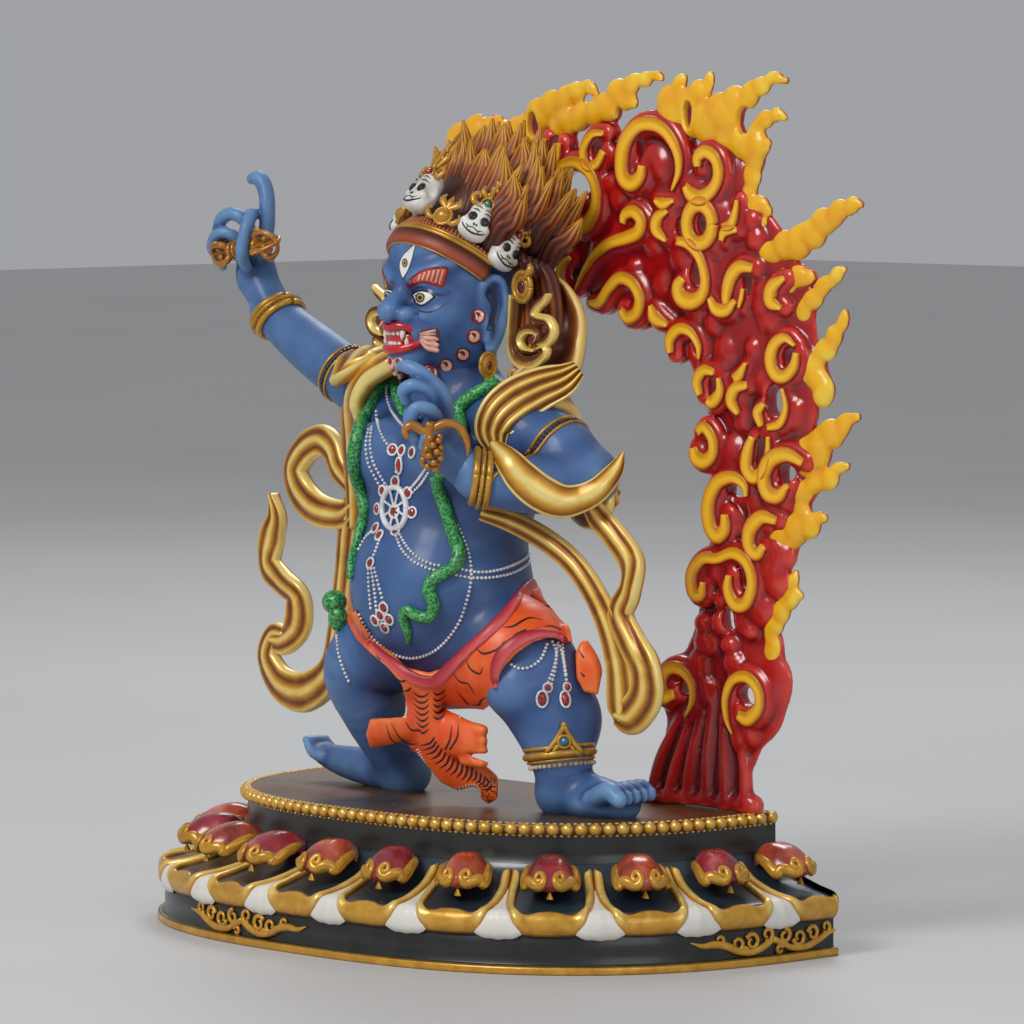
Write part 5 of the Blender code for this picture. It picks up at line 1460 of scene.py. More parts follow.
FIRE_HOLES = [(19, 280.6, 7.6, 4.6), (31, 294, 2.4, 4.2), (8, 294, 2.6, 4.4), (-4, 303, 2.4, 4.6),
              (-20, 294, 4.4, 2), (88, 267, 4.0, 4.2), (78, 307, 2.2, 5), (106, 305, 3.0, 5),
              (53.6, 293.6, 1.4, 4.6), (75, 266, 3, 3.6), (83, 249, 3.4, 5.2), (109, 246, 2, 4.6),
              (82, 222, 3.0, 4.2), (130.4, 219, 3.0, 3.8), (92, 206.6, 2.2, 4.4), (122.6, 203, 4.0, 6),
              (116.4, 183.6, 2.4, 6.4), (128.6, 176.4, 3.4, 4.8), (103, 169.6, 4.2, 2.6), (99, 122, 2.4, 4.6),
              (109.4, 94, 5.0, 4.0), (77.4, 95.6, 2.6, 3.6), (41, 305, 1.4, 4.6), (102, 273, 1.6, 2.8)]
FIRE_FOLDS = [[(58, 52, 2.4), (64, 68, 2.6), (74, 84, 1.6)], [(67, 51, 2.6), (72, 66, 2.8), (82, 88, 1.8)],
              [(77, 51, 2.8), (80, 68, 3), (88, 92, 2)], [(87, 51, 2.6), (88, 70, 2.8), (92, 96, 1.8)],
              [(97, 51, 2.8), (97, 68, 2.8), (96, 86, 1.8)], [(107, 51, 2.6), (107, 68, 2.6), (102, 82, 1.6)]]


def upright(rows, y):
    """Points and sizes from rows of x, z and size in one upright plane."""
    return [(x, y, z) for x, z, size in rows], [size for x, z, size in rows]


def ragged(rows, phase):
    """A tongue's rows with a wavy edge, finer toward its tip."""
    path = evenly(smooth_path([(x, 0, z) for x, z, size in rows], [size for x, z, size in rows], 6), 1.0)
    run = np.cumsum(np.linalg.norm(np.gradient(path[:, :3], axis=0), axis=1))
    wave = np.sin(run * 0.85 + phase) + 0.5 * np.sin(run * 1.9 + 2 * phase)
    ahead = unit(np.gradient(path[:, :3], axis=0))
    sway = 0.16 * path[:, 3] * np.sin(run * 0.62 + 1.7 * phase)
    size = path[:, 3] * (1 + 0.13 * wave)
    return [(x, z, s) for x, z, s in zip(path[:, 0] - ahead[:, 2] * sway, path[:, 2] + ahead[:, 0] * sway,
                                         size)][::2]


def drill_fire(clay):
    """Pierce the open places of the fire right through."""
    for x, z, half_width, half_height in FIRE_HOLES:
        for y in (FIRE_Y - 4, FIRE_Y - 1.5, FIRE_Y + 1.5, FIRE_Y + 4):
            clay.ball((x, y, z), (half_width, 6, half_height), soft=0.8, carve=True)


def sculpt_fire(clay):
    """A thin slab with bulbs, raised borders under the curls, roots for the tongues and a folded foot."""
    points, widths = upright(FIRE_TRUNK, FIRE_Y + 0.4)
    clay.tube(points, widths, flat=0.09, soft=1)
    for x, z, radius in FIRE_LOBES:
        clay.ball((x, FIRE_Y + 0.4, z), (radius, FIRE_HALF - 0.9, radius), soft=3)
    rng = np.random.default_rng(11)
    trunk = evenly(smooth_path([(x, 0, z) for x, z, size in FIRE_TRUNK], [size for x, z, size in FIRE_TRUNK],
                               6), 1.0)
    ahead = unit(np.gradient(trunk[:, :3], axis=0))
    for k in range(34, len(trunk) - 4, 3):
        out = rng.uniform(-0.86, 0.86) * trunk[k, 3]
        radius = rng.uniform(4.0, 7.5)
        spot = trunk[k, :3] + out * np.array([-ahead[k, 2], 0, ahead[k, 0]])
        clay.ball((spot[0], FIRE_Y - 0.9, spot[2]), (radius, 3.6, radius * rng.uniform(0.8, 1.2)), soft=0.7)
    for rows in CURLS + [FIRE_RING]:
        points, widths = upright(rows, FIRE_Y - 2.6)
        clay.tube(points, [width + 2.6 for width in widths], flat=0.50, soft=0.6)
        points, widths = upright(rows, FIRE_Y + 0.6)
        clay.tube(points, [width + 3.0 for width in widths], flat=0.50, soft=1.4)
    for k, rows in enumerate(TONGUES):
        points, widths = upright(ragged(rows[:2], k), FIRE_Y + 0.5)
        clay.tube(points, [width + 0.2 for width in widths], flat=0.42, soft=2)
    for rows in FIRE_FOLDS:
        points, widths = upright(rows, FIRE_Y - 1.6)
        clay.tube(points, widths, flat=0.85, soft=1.0)
    clay.tube([(56, FIRE_Y, 53), (84, FIRE_Y, 53), (110, FIRE_Y, 53)], [4, 4, 4], flat=0.9, soft=2)
    clay.ball((84, FIRE_Y, 42), (60, 12, 9.2), soft=0.6, carve=True)
    drill_fire(clay)


def fire_look(name):
    look = Look(name, 0.24, coat=0.5)
    # Painted shade in the hollows of the red and painted highlight on its lumps, from the relief
    tone = look.math("ADD", look.span(look.value("relief"), -1.0, 0.9), look.uneven(0.5, 30, 4.0, 0.8))
    look.colour(look.ramp(tone, [(.1, (.06, .001, .003)), (.45, (.34, .003, .005)), (.75, (.55, .014, .010)),
                                 (1.0, (.74, .075, .045))]))
    look.bump(look.noise(90, 3.0), 0.15, 0.0006)
    return look.material


def tongue_look(name):
    look = Look(name, 0.34, coat=0.25)
    waves = look.math("SUBTRACT", look.noise(55, 4.0, 1.2), 0.5)
    # The relief gives painted shade in the tongues' hollows and painted highlight on what stands proud
    tone = look.math("ADD", look.span(look.value("relief"), -1.4, 1.0), look.math("MULTIPLY", waves, 0.7))
    gold = look.ramp(tone, [(.1, (.60, .10, .003)), (.42, (.86, .33, .006)), (.78, (.95, .52, .012)),
                            (1, (1.0, .74, .08))])
    front = look.span(look.math("ADD", look.value("front"), look.math("MULTIPLY", waves, 1.2)), 0.55, 1.1)
    look.colour(look.mix(front, (.44, .008, .006), gold))
    look.bump(look.noise(70, 4.0, 1.0), 0.5, 0.0014)
    return look.material


def curl_look(name):
    look = Look(name, 0.3, coat=0.3)
    edge = look.math("ABSOLUTE", look.value("mark"), 0.0)
    # Paler along the middle of each curl as a painted highlight, orange-brown toward its edges
    tone = look.math("ADD", edge, look.uneven(0.25, 110, 3.0))
    look.colour(look.ramp(tone, [(.05, (.97, .58, .03)), (.5, (.90, .42, .012)), (.80, (.62, .18, .006)),
                                 (.97, (.28, .03, .006))]))
    return look.material


def build_aureole():
    red = Clay((-34, 51, 47.5), (152, 70, 316), 0.78)
    sculpt_fire(red)
    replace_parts(red.make("flame_body", fire_look("flame_lacquer"), 8), "flame_aureole")
    yellow = Clay((-56, 53, 104), (168, 68, 326), 0.72)
    for k, rows in enumerate(TONGUES):
        points, widths = upright(ragged(rows, k), FIRE_Y - 0.6)
        yellow.tube(points, widths, flat=0.55, soft=1.2)
    drill_fire(yellow)
    yellow.make("flame_tongues", tongue_look("flame_yellow"), 8,
                {"front": lambda verts: FIRE_Y - verts[:, 1]})
    curls = Batch()
    for rows in CURLS + [FIRE_RING]:
        points, widths = upright(rows, FIRE_Y - 4.4)
        curls.ribbon(points, [1.3 * width for width in widths], [0.9 + 0.25 * width for width in widths],
                     (0, -1, 0), folds=1, depth=-0.3, per_span=6)
    curls.make("flame_curls", curl_look("curl_yellow"))


# Face paint; the points are places in the photo's picture plane

# The dark blue is painted shade in the lid creases and the hollow of the ear
WHITE, BLACK, BLOOD, CREAM, FIRE, AMBER, SHADE_NAVY = range(7)
PAINTS = [(.86, .85, .82), (.010, .008, .012), (.20, .006, .012), (.86, .50, .38), (.62, .085, .045),
          (.52, .33, .10), (.020, .045, .14)]


def paint_face():
    skin = Ground("head")
    paint = Batch()

    def patch(rows, tint, lift, mirror=True):
        paint_patch(paint, skin, uncropped(HEAD_CROP, rows), tint, lift, mirror=mirror)

    def stroke(rows, widths, tint, lift=0.2, mirror=True):
        paint_stroke(paint, skin, uncropped(HEAD_CROP, rows), widths, tint, lift, mirror)

    patch([(430, 692), (452, 672), (490, 664), (535, 674), (578, 704), (545, 732), (500, 762), (462, 748)],
          BLACK, .10)
    patch([(441, 694), (460, 682), (490, 674), (530, 682), (560, 704), (535, 726), (496, 750), (462, 738)],
          WHITE, .16)
    patch([(485, 680), (508, 690), (512, 712), (500, 732), (478, 736), (461, 722), (459, 700), (470, 685)],
          BLACK, .22)
    patch([(485, 687), (502, 695), (505, 712), (496, 726), (480, 729), (467, 719), (466, 702), (474, 691)],
          AMBER, .26)
    patch([(486, 697), (496, 703), (497, 713), (489, 720), (480, 719), (475, 711), (477, 702)], BLACK, .30)
    # Dark blue along the lid fold above the eye and the crease under it: painted shade
    stroke([(428, 676), (450, 664), (490, 658), (540, 668), (590, 692), (640, 690), (668, 680)],
           [.3, .55, .6, .55, .45, .3, .1], SHADE_NAVY)
    stroke([(440, 762), (480, 790), (540, 795), (600, 768), (650, 730)], [.1, .35, .4, .3, .1], SHADE_NAVY, .14)
    patch([(400, 640), (412, 602), (440, 578), (500, 540), (570, 524), (654, 524), (645, 580), (622, 650),
           (570, 640), (505, 622), (450, 640), (420, 652)], BLOOD, .10)
    patch([(430, 618), (445, 590), (500, 553), (570, 538), (638, 536), (632, 578), (612, 632), (568, 624),
           (505, 606), (455, 618)], FIRE, .16)
    for low, high in (((470, 606), (484, 568)), ((496, 600), (512, 556)), ((522, 604), (540, 548)),
                      ((548, 610), (568, 542)), ((574, 618), (596, 540)), ((598, 624), (622, 540))):
        stroke([low, high], [.28, .36], CREAM, .22)
    for centre_x, centre_y in ((835, 822), (808, 945), (742, 1055), (640, 1120)):
        turns = np.linspace(0, 2 * math.pi, 13)[:-1]
        patch([(centre_x + 46 * math.cos(t), centre_y + 46 * math.sin(t)) for t in turns], BLOOD, .12)
        turns = np.linspace(-2.4, 3.6, 16)
        reach = np.linspace(34, 6, 16)
        stroke([(centre_x + r * math.cos(t), centre_y + r * math.sin(t)) for t, r in zip(turns, reach)],
               list(np.linspace(.2, 1.5, 16)), CREAM)
    patch([(468, 930), (500, 905), (560, 893), (596, 905), (604, 950), (590, 1000), (548, 1010), (500, 980)],
          BLOOD, .14)
    for k in range(5):
        stroke([(480, 925 + 8 * k), (530, 915 + 15 * k), (578, 904 + 21 * k)], [.15, .42, .5], CREAM, .24)
    # Dark blue in the hollow of the ear: painted shade
    patch([(872, 690), (890, 655), (925, 650), (960, 690), (968, 760), (950, 850), (915, 905), (880, 905),
           (905, 860), (915, 790), (895, 730)], SHADE_NAVY, .14)
    third = np.array([(380, 592), (365, 548), (363, 500), (384, 455), (420, 418), (454, 390), (442, 440),
                      (428, 495), (406, 552)], dtype=float)
    middle = np.array([396.0, 498.0])
    patch([tuple(middle + (spot - middle) * 1.10) for spot in third], BLACK, .10, mirror=False)
    patch([tuple(spot) for spot in third], WHITE, .16, mirror=False)
    turns = np.linspace(0, 2 * math.pi, 13)[:-1]
    for across, tall, tint, lift in ((17, 27, BLACK, .22), (12, 20, AMBER, .26), (5, 9, BLACK, .30)):
        patch([(393 + across * math.cos(t), 500 + tall * math.sin(t)) for t in turns], tint, lift,
              mirror=False)
    paint.make("face_paint", palette("face_paints", PAINTS))


def build_mouth():
    """Red lips and palate, white teeth and fangs, and the beard."""
    mouth = Batch()
    upper = [(-10.6, 19.6, -17.6), (-8, 24, -13.6), (-4.4, 27.2, -12.5), (-1.4, 28.4, -13.2),
             (0, 28.4, -13.7), (1.4, 28.4, -13.2), (4.4, 27.2, -12.5), (8, 24, -13.6), (10.6, 19.6, -17.6)]
    lower = [(-10.6, 19.6, -17.9), (-8, 23.6, -21.4), (-4.4, 26.6, -23), (0, 27.6, -23.4), (4.4, 26.6, -23),
             (8, 23.6, -21.4), (10.6, 19.6, -17.9)]
    upper = [(a, f, -17.4 + 0.84 * (u + 17.4)) for a, f, u in upper]
    lower = [(a, f, -17.4 + 0.78 * (u + 17.4)) for a, f, u in lower]
    mouth.tube(head_path(upper), [1.0, 1.6, 1.8, 1.6, 1.4, 1.6, 1.8, 1.6, 1.0], sides=12)
    mouth.tube(head_path(lower), [1.0, 1.6, 1.8, 1.9, 1.8, 1.6, 1.0], sides=12)
    mouth.ball(head_at(0, 21.8, -17.8), (8.6, 5.4, 4.4), HEAD_SPIN, cuts=8)
    lips = Look("lip_red", 0.22, coat=0.6)
    lips.colour(lips.ramp(lips.noise(70, 3.0), [(.3, (.34, .006, .010)), (.65, (.62, .015, .018))]))
    mouth.make("lips", lips.material)
    teeth = Batch()
    for side in (-1, 1):
        for a, f, drop in ((1.1, 27.4, 2.2), (3.2, 26.8, 2.2)):
            teeth.ball(head_at(side * a, f, -15.8), (1.0, .8, drop * .52), HEAD_SPIN, cuts=4)
            teeth.ball(head_at(side * a, f - .6, -20.0), (1.0, .8, drop * .45), HEAD_SPIN, cuts=4)
        teeth.tube(head_path([(5.4, 26.2, -15.0), (5.6, 26.6, -17), (5.2, 26.6, -18.4)], side),
                   [1.1, .85, .15])
        teeth.tube(head_path([(6.6, 25.0, -20.6), (7.0, 25.6, -18.8), (6.8, 25.4, -17.2)], side),
                   [1.05, .8, .15])
    ivory = flat_paint("tooth_white", (.62, .58, .48), (.86, .84, .78), 0.25, 0.3)
    teeth.make("teeth", ivory)
    build_beard()


def build_beard():
    """Locks along the jaw, and a row of coils under it."""
    tufts = Batch()
    for side in (-1, 1):
        for k in range(5):
            rise = -12.6 - 2.2 * k + (0 if k < 4 else .6)
            tufts.lock(head_path([(9.6, 21.6, -15.6 - .5 * k), (12.6, 19.8, -14 - 1.7 * k),
                                  (15.6, 17, rise - .4 * k)],
                                 side), [1.0, 1.5, .7], ridges=4, depth=.08)
        for a, f, u, size in ((2.4, 25.5, -27, 2.3), (6.0, 21.5, -29.5, 2.7), (9.6, 17, -31, 2.7)):
            middle = head_at(side * a, f, u)
            out = unit(middle - head_at(0, 6, -14))
            flat_side = unit(np.cross(out, (0, 0, 1)))
            turns = np.linspace(0, 4.2 * math.pi, 20)
            reach = np.linspace(size, .4, 20)
            coil = [middle + flat_side * (r * math.cos(t)) + (0, 0, r * math.sin(t)) + out * (.9 - r * .25)
                    for t, r in zip(turns, reach)]
            tufts.tube(coil, list(np.linspace(.95, .5, 20)), per_span=2, sides=8, mark=1.0)
            tufts.ball(middle - out * .8, (size, size, size), cuts=4)
    beard = Look("beard_red", 0.35, coat=0.2)
    shade = beard.math("ADD", beard.value("mark"), beard.math("MULTIPLY", beard.value("groove"), .35))
    beard.colour(beard.mix(beard.span(shade, .1, .6), (.26, .012, .018), (.86, .46, .36)))
    tufts.make("beard", beard.material)


# Crown of five skulls, with its band, beads, flowers and leaf finials

CROWN_TIP = math.radians(36)
# Degrees round the head that the band reaches on each side
CROWN_REACH = 86
# Skulls from the right temple to the left: degrees round the head, height above the band, size
SKULLS = ((-88, 9.5, 1.12), (-57, 12.5, 1.14), (0, 16, 1.28), (57, 12.5, 1.18), (88, 9.5, 1.14))


def crown_at(degrees, rise, out=0.0):
    """A place on the crown: degrees round the head, rise up its tipped plane and distance outward."""
    turn = math.radians(degrees)
    ahead = (27 + out) * math.cos(turn)
    return head_at((26.5 + out) * math.sin(turn), ahead * math.cos(CROWN_TIP) - rise * math.sin(CROWN_TIP),
                   6 + ahead * math.sin(CROWN_TIP) + rise * math.cos(CROWN_TIP))


def crown_frame(degrees):
    """Sideways, outward and upward directions on the crown."""
    out = unit(crown_at(degrees, 0, 1) - crown_at(degrees, 0))
    up = unit(crown_at(degrees, 1) - crown_at(degrees, 0))
    out = unit(out - up * (out @ up))
    return np.cross(out, up), out, up


def crown_arc(rise, out, low=-CROWN_REACH, high=CROWN_REACH, count=29):
    """Points along the crown from the right temple to the left one."""
    return [crown_at(a, rise, out) for a in np.linspace(low, high, count)]


def skull_clay():
    clay = Clay((-7, -6, -8), (7, 5, 8), 0.36)
    clay.ball((0, 0.4, 3.6), (3.9, 3.6, 3.9))
    clay.ball((0, 0, -.8), (5.2, 4.1, 4.0), soft=2)
    clay.ball((0, -.6, -4.0), (4.5, 3.6, 2.3), soft=2)
    for side in (-1, 1):
        clay.ball((side * 3.6, -2.2, -1.4), (1.5, 1.3, 1.3), soft=1)
        clay.ball((side * 2.0, -4.6, .3), (1.5, 1.5, 1.6), soft=.5, carve=True)
        clay.ball((side * 4.8, -1.5, 1.2), (1.2, 2.0, 2.0), soft=1.2, carve=True)
    clay.ball((0, -4.6, -1.9), (.8, 1.0, .9), soft=.4, carve=True)
    return clay.surface()


def mark_skull(ink, place, turn, size):
    """Black eyes, nose, brows and toothed grin; place carries a skull's own points to the crown."""
    for s in (-1, 1):
        ink.ball(place((s * 2.0, -3.3, .3)), (1.55 * size, .95, 1.7 * size), turn, cuts=4)
        ink.ball(place((s * .5, -3.85, -2.0)), (.42, .4, .62), cuts=3)
        for wide, brow in ((.26, [(.8, -3.9, 2.6), (2.0, -3.7, 3.0), (3.2, -2.9, 2.8)]),
                           (.22, [(.6, -3.6, 4.0), (1.8, -3.4, 4.4), (2.8, -2.7, 4.1)])):
            ink.tube(place(np.array(brow) * (s, 1, 1)), [.12, wide, .12])
    ink.tube(place([(-4.3, -2.5, -2.4), (-3.0, -3.5, -3.9), (0, -4.2, -4.9), (3.0, -3.5, -3.9),
                    (4.3, -2.5, -2.4)]),
             [.12, .30, .34, .30, .12])
    ink.tube(place([(-3.0, -3.4, -2.7), (-1.6, -4.0, -3.5), (0, -4.2, -3.2), (1.6, -4.0, -3.5),
                    (3.0, -3.4, -2.7)]),
             [.10, .28, .2, .28, .10])
    for x in (-1.9, -.65, .65, 1.9):
        ink.tube(place([(x, -4.0, -3.6), (x, -4.05, -4.7)]), [.16, .14])


def crown_flowers(rails, gems):
    """A round flower between the middle skull and each of its neighbours, with curls and three petals."""
    for degrees in (-30, 30):
        side, out, up = crown_frame(degrees)
        middle = crown_at(degrees, 9.5, .5)
        for radius, size in ((3.4, .6), (2.1, .55)):
            rails.tube(circle(middle, side, up, 21, radius), [size] * 21, per_span=2)
        rails.ball(middle - out * .6, (3.3, 3.3, 3.3), cuts=6)
        gems.ball(middle + out * 1.2, (1.2, 1.2, 1.2), cuts=4, mark=1.0)
        for s in (-1, 1):
            places = ((3, -2), (5.4, -1.6), (7, .6), (5.8, 2.4))
            curl = [middle + side * s * along + up * rise for along, rise in places]
            rails.tube(curl, [.7, 1.2, 1.0, .3])
        for lean in (-.5, 0, .5):
            tip = middle + up * 8.6 + side * lean * 6
            rails.tube([middle + up * 3, middle + up * 6 + side * lean * 7, tip], [1.1, 1.5, .2], flat=.6,
                       across=out)


def build_crown():
    band, rails, beads = Batch(), Batch(), Batch()
    outs = [crown_frame(a)[1] for a in np.linspace(-CROWN_REACH, CROWN_REACH, 29)]
    band.ribbon(crown_arc(-.9, -1.2), [3.1] * 29, 1.5, outs, folds=1, depth=.1, per_span=2)
    # The band's mark runs across it: painted shade along one edge and painted highlight along the other
    band_red_brown = hand_painted("crown_band_red_brown", (.07, .010, .004), (.22, .034, .010), (.34, .065, .022), -.6, .6,
                        key="mark")
    band.make("crown_band", band_red_brown)
    rails.tube(crown_arc(2.7, -.4), [.85] * 29, per_span=2)
    rails.tube(crown_arc(4.1, -.9), [.7] * 29, per_span=2)
    rails.tube(crown_arc(-4.0, -1.6), [.45] * 29, per_span=2)
    for rise, out, reach in ((5.4, -1.4, 78), (6.8, -2.0, 60), (8.0, -2.6, 30)):
        arc = np.array(crown_arc(rise, out, -reach, reach, 41))
        strand(beads, arc, .78, 1.62)
    copper = hand_painted("bead_copper", (.14, .02, .008), (.48, .14, .05), (.80, .42, .22), -.8, .8,
                          key="mark")
    beads.make("crown_beads", copper)
    bone, ink, gems = Batch(), Batch(), Batch()
    verts, quads = skull_clay()
    for degrees, rise, size in SKULLS:
        turn = np.stack(crown_frame(degrees), 1) * (1, -1, 1)
        middle = crown_at(degrees, rise, .6)

        def place(points, turn=turn, middle=middle, size=size):
            return middle + np.array(points, dtype=float) * size @ turn.T

        bone.add(place(verts), quads)
        mark_skull(ink, place, turn, size)
        finial(rails, gems, place, 1.0 if degrees else 1.25, degrees)
    bone.make("skulls", flat_paint("bone_white", (.60, .57, .50), (.88, .86, .82), .35, .15))
    ink.make("skull_marks", flat_paint("skull_black", (.006, .005, .008), (.02, .016, .02), .3))
    crown_flowers(rails, gems)
    gold_paint = gold("crown_gold", deep=(.16, .05, .006), base=(.62, .32, .035), light=(.98, .74, .24))
    rails.make("crown_gold", gold_paint)
    jewels = palette("gem_paints", [(.30, .008, .014), (.03, .22, .12), (.04, .10, .22)], .15, .8)
    gems.make("crown_gems", jewels)
    build_ear_ornaments(gold_paint)


def finial(gold_work, gems, place, size, degrees):
    """Leaves, curls and a pointed twig over a skull, round one gem."""
    gems.ball(place((0, -2.6, 6.4)), (1.35, 1.35, 1.35), cuts=4, mark=1.0 if degrees in (57, -57) else 0.0)
    turns = np.linspace(0, 2 * math.pi, 17)
    gold_work.tube(place([(1.9 * math.cos(t), -2.2, 6.4 + 1.9 * math.sin(t)) for t in turns]), [.5] * 17,
                   per_span=2)
    for s in (-1, 1):
        gold_work.tube(place([(s * 1.6, -1.6, 5.6), (s * 4.2, -1.4, 5.4), (s * 5.2, -1.2, 7.4),
                              (s * 3.8, -1.4, 8.6), (s * 3.0, -1.6, 7.4)]), [.7, 1.1, 1.0, .8, .3])
        gold_work.tube(place([(s * 1.2, -1.6, 8.4), (s * 3.0, -1.2, 9.8 * size), (s * 3.4, -1, 12 * size)]),
                       [.8, 1.2, .2])
        for k in range(3):
            gold_work.ball(place((s * (.9 - .25 * k), -1.2, (9.6 + 2.4 * k) * size)), (.95, .95, 1.15),
                           cuts=3)
    gold_work.tube(place([(0, -1.8, 8), (.3, -1.2, 12 * size), (-.3, -.6, 15.5 * size), (0, 0, 18.4 * size)]),
                   [1.2, 1.0, .8, .15])


def build_ear_ornaments(gold_paint):
    """Round ear flowers, ribbons with scrolls beside the ears, and earrings under the lobes."""
    work, dark = Batch(), Batch()
    scrolls = [([(1060, 700), (1052, 800), (1046, 900), (1044, 1000), (1068, 1070), (1130, 1106),
                 (1200, 1086), (1246, 1040), (1236, 1012), (1190, 1030)],
                [3.2, 2.9, 2.8, 3.0, 3.2, 2.9, 2.5, 1.9, 1.5, .8]),
               ([(1180, 1036), (1112, 1020), (1086, 960), (1120, 906), (1180, 905), (1206, 950), (1180, 990)],
                [.8, 1.5, 1.9, 1.9, 1.8, 1.5, .6]),
               ([(1206, 990), (1262, 968), (1290, 908), (1262, 850), (1200, 832), (1172, 806), (1200, 756),
                 (1240, 720), (1262, 684)], [1.2, 2.0, 2.2, 2.1, 1.9, 1.9, 1.9, 1.7, .7])]
    behind = head_at(0, -7, 0)
    for side in (-1, 1):
        def put(x, y, depth=0.0, side=side):
            (px, py), = uncropped(HEAD_CROP, [(x, y)])
            point = on_plane(px, py, behind + HEAD_AHEAD * depth, HEAD_AHEAD)
            return point if side > 0 else other_side(point) + HEAD_AHEAD * 7
        for rows, widths in scrolls:
            work.ribbon([put(x, y) for x, y in rows], widths, 1.5, HEAD_AHEAD, folds=2, depth=.35, per_span=6)
        for x, y in ((1158, 962), (1236, 900)):
            dark.ball(put(x, y), (2.0, 1.0, 2.0), HEAD_SPIN, cuts=4)
        disc = put(1100, 645, 1.5)
        for reach, radius in ((5.3, 1.1), (3.2, .8)):
            work.tube(circle(disc, HEAD_LEFT * side, UP, 25, reach), [radius] * 25, per_span=2)
        work.ball(disc - HEAD_AHEAD * .6, (5.2, 1.4, 5.2), HEAD_SPIN, cuts=6)
        dark.ball(disc + HEAD_AHEAD * .6, (2.4, .9, 2.4), HEAD_SPIN, cuts=4)
        work.tube([disc + HEAD_LEFT * side * 2.5 + (0, 0, 3.4), disc + HEAD_LEFT * side * 5 + (0, 0, 6.4),
                   disc + HEAD_LEFT * side * 4.4 + (0, 0, 8.6)], [1.6, 1.6, .6])
        lobe = head_at(side * 26.5, 2.4, -27.5)
        for reach, radius in ((1.0, .8), (.55, .6)):
            work.tube(circle(lobe, HEAD_AHEAD, UP, 25, 3.4 * reach, 4.4 * reach), [radius] * 25, per_span=2)
        work.ball(lobe, (1.2, 3.3, 4.3), HEAD_SPIN, cuts=6)
        dark.ball(lobe + HEAD_LEFT * side * .7, (.9, 1.3, 1.9), HEAD_SPIN, cuts=4)
        for k in range(4):
            for lean in (-1, 1):
                drop = lobe + HEAD_AHEAD * (lean * (.6 + .35 * k)) - UP * (5.2 + 1.7 * k)
                work.ball(drop, (1.0, 1.0, 1.1), cuts=3)
    work.make("ear_ornaments", gold_paint)
    dark.make("ear_ornament_centres",
              flat_paint("ornament_maroon", (.06, .006, .008), (.17, .014, .016), .3, .3))


# Snakes, bead strands, gems and metalwork on the body

def snake_on(batch, ground, picture, radii):
    """A snake laid on the surface along picture points, a little sunk into it."""
    rows = flat_path(picture, radii, 6)
    spots, sizes = [], []
    for x, y, _, radius in rows:
        spot, normal = ground.seen(x, y)
        if spot is not None:
            spots.append(spot + normal * radius * 0.55)
            sizes.append(radius)
    spots = np.array(spots)
    for _ in range(2):
        spots[1:-1] = 0.25 * spots[:-2] + 0.5 * spots[1:-1] + 0.25 * spots[2:]
    batch.tube(spots, sizes, per_span=2, sides=14)


def snake_look():
    look = Look("snake_green", 0.34, coat=0.3)
    cells = look.node("ShaderNodeTexVoronoi", {"Vector": look.place(), "Scale": 900.0}).outputs["Distance"]
    tone = look.math("ADD", look.span(cells, 0.15, 0.75), look.math("MULTIPLY", look.noise(60, 3.0), 0.4))
    look.colour(look.ramp(tone, [(.25, (.006, .10, .022)), (.6, (.012, .20, .045)), (.9, (.03, .32, .075)),
                                 (1.0, (.09, .42, .13))]))
    look.bump(cells, 0.5, 0.0005)
    return look.material


def build_snakes():
    skin = Ground("body")
    snakes = Batch()
    snake_on(snakes, skin, uncropped(TORSO_CROP,
                                     [(300, 0), (240, 90), (180, 230), (152, 330), (140, 430), (155, 530),
                                      (188, 610),
                                      (198, 700), (175, 790), (142, 880), (124, 960), (118, 1040)]),
             [2.4, 2.6, 2.7, 2.7, 2.6, 2.5, 2.4, 2.3, 2.1, 1.8, 1.6, 1.5])
    snake_on(snakes, skin, uncropped(TORSO_CROP,
                                     [(560, 500), (575, 570), (600, 640), (625, 730), (652, 830), (672, 910),
                                      (650, 975),
                                      (600, 1010), (540, 1045), (518, 1100), (545, 1165), (530, 1228),
                                      (470, 1232),
                                      (410, 1200), (388, 1240), (410, 1310), (412, 1372)]),
             [2.2, 2.4, 2.6, 2.6, 2.7, 2.7, 2.6, 2.6, 2.5, 2.5, 2.4, 2.3, 2.2, 2.1, 1.9, 1.6, .8])
    snake_on(snakes, skin, [(497, 386), (484, 393), (470, 401), (461, 412), (462, 428), (456, 448),
                            (446, 466), (438, 480)],
             [2.6, 2.6, 2.6, 2.6, 2.5, 2.5, 2.4, 2.2])
    snake_on(snakes, skin, [(392, 378), (397, 386), (401, 400), (403, 416)], [2.2, 2.4, 2.1, .8])
    for spot, radii in (((-44.5, -7.5, 123), (5.0, 4.6, 4.6)), ((-42.5, -7.5, 117), (3.8, 3.8, 5.0))):
        snakes.ball(spot, radii, cuts=8)
    snakes.make("snakes", snake_look())


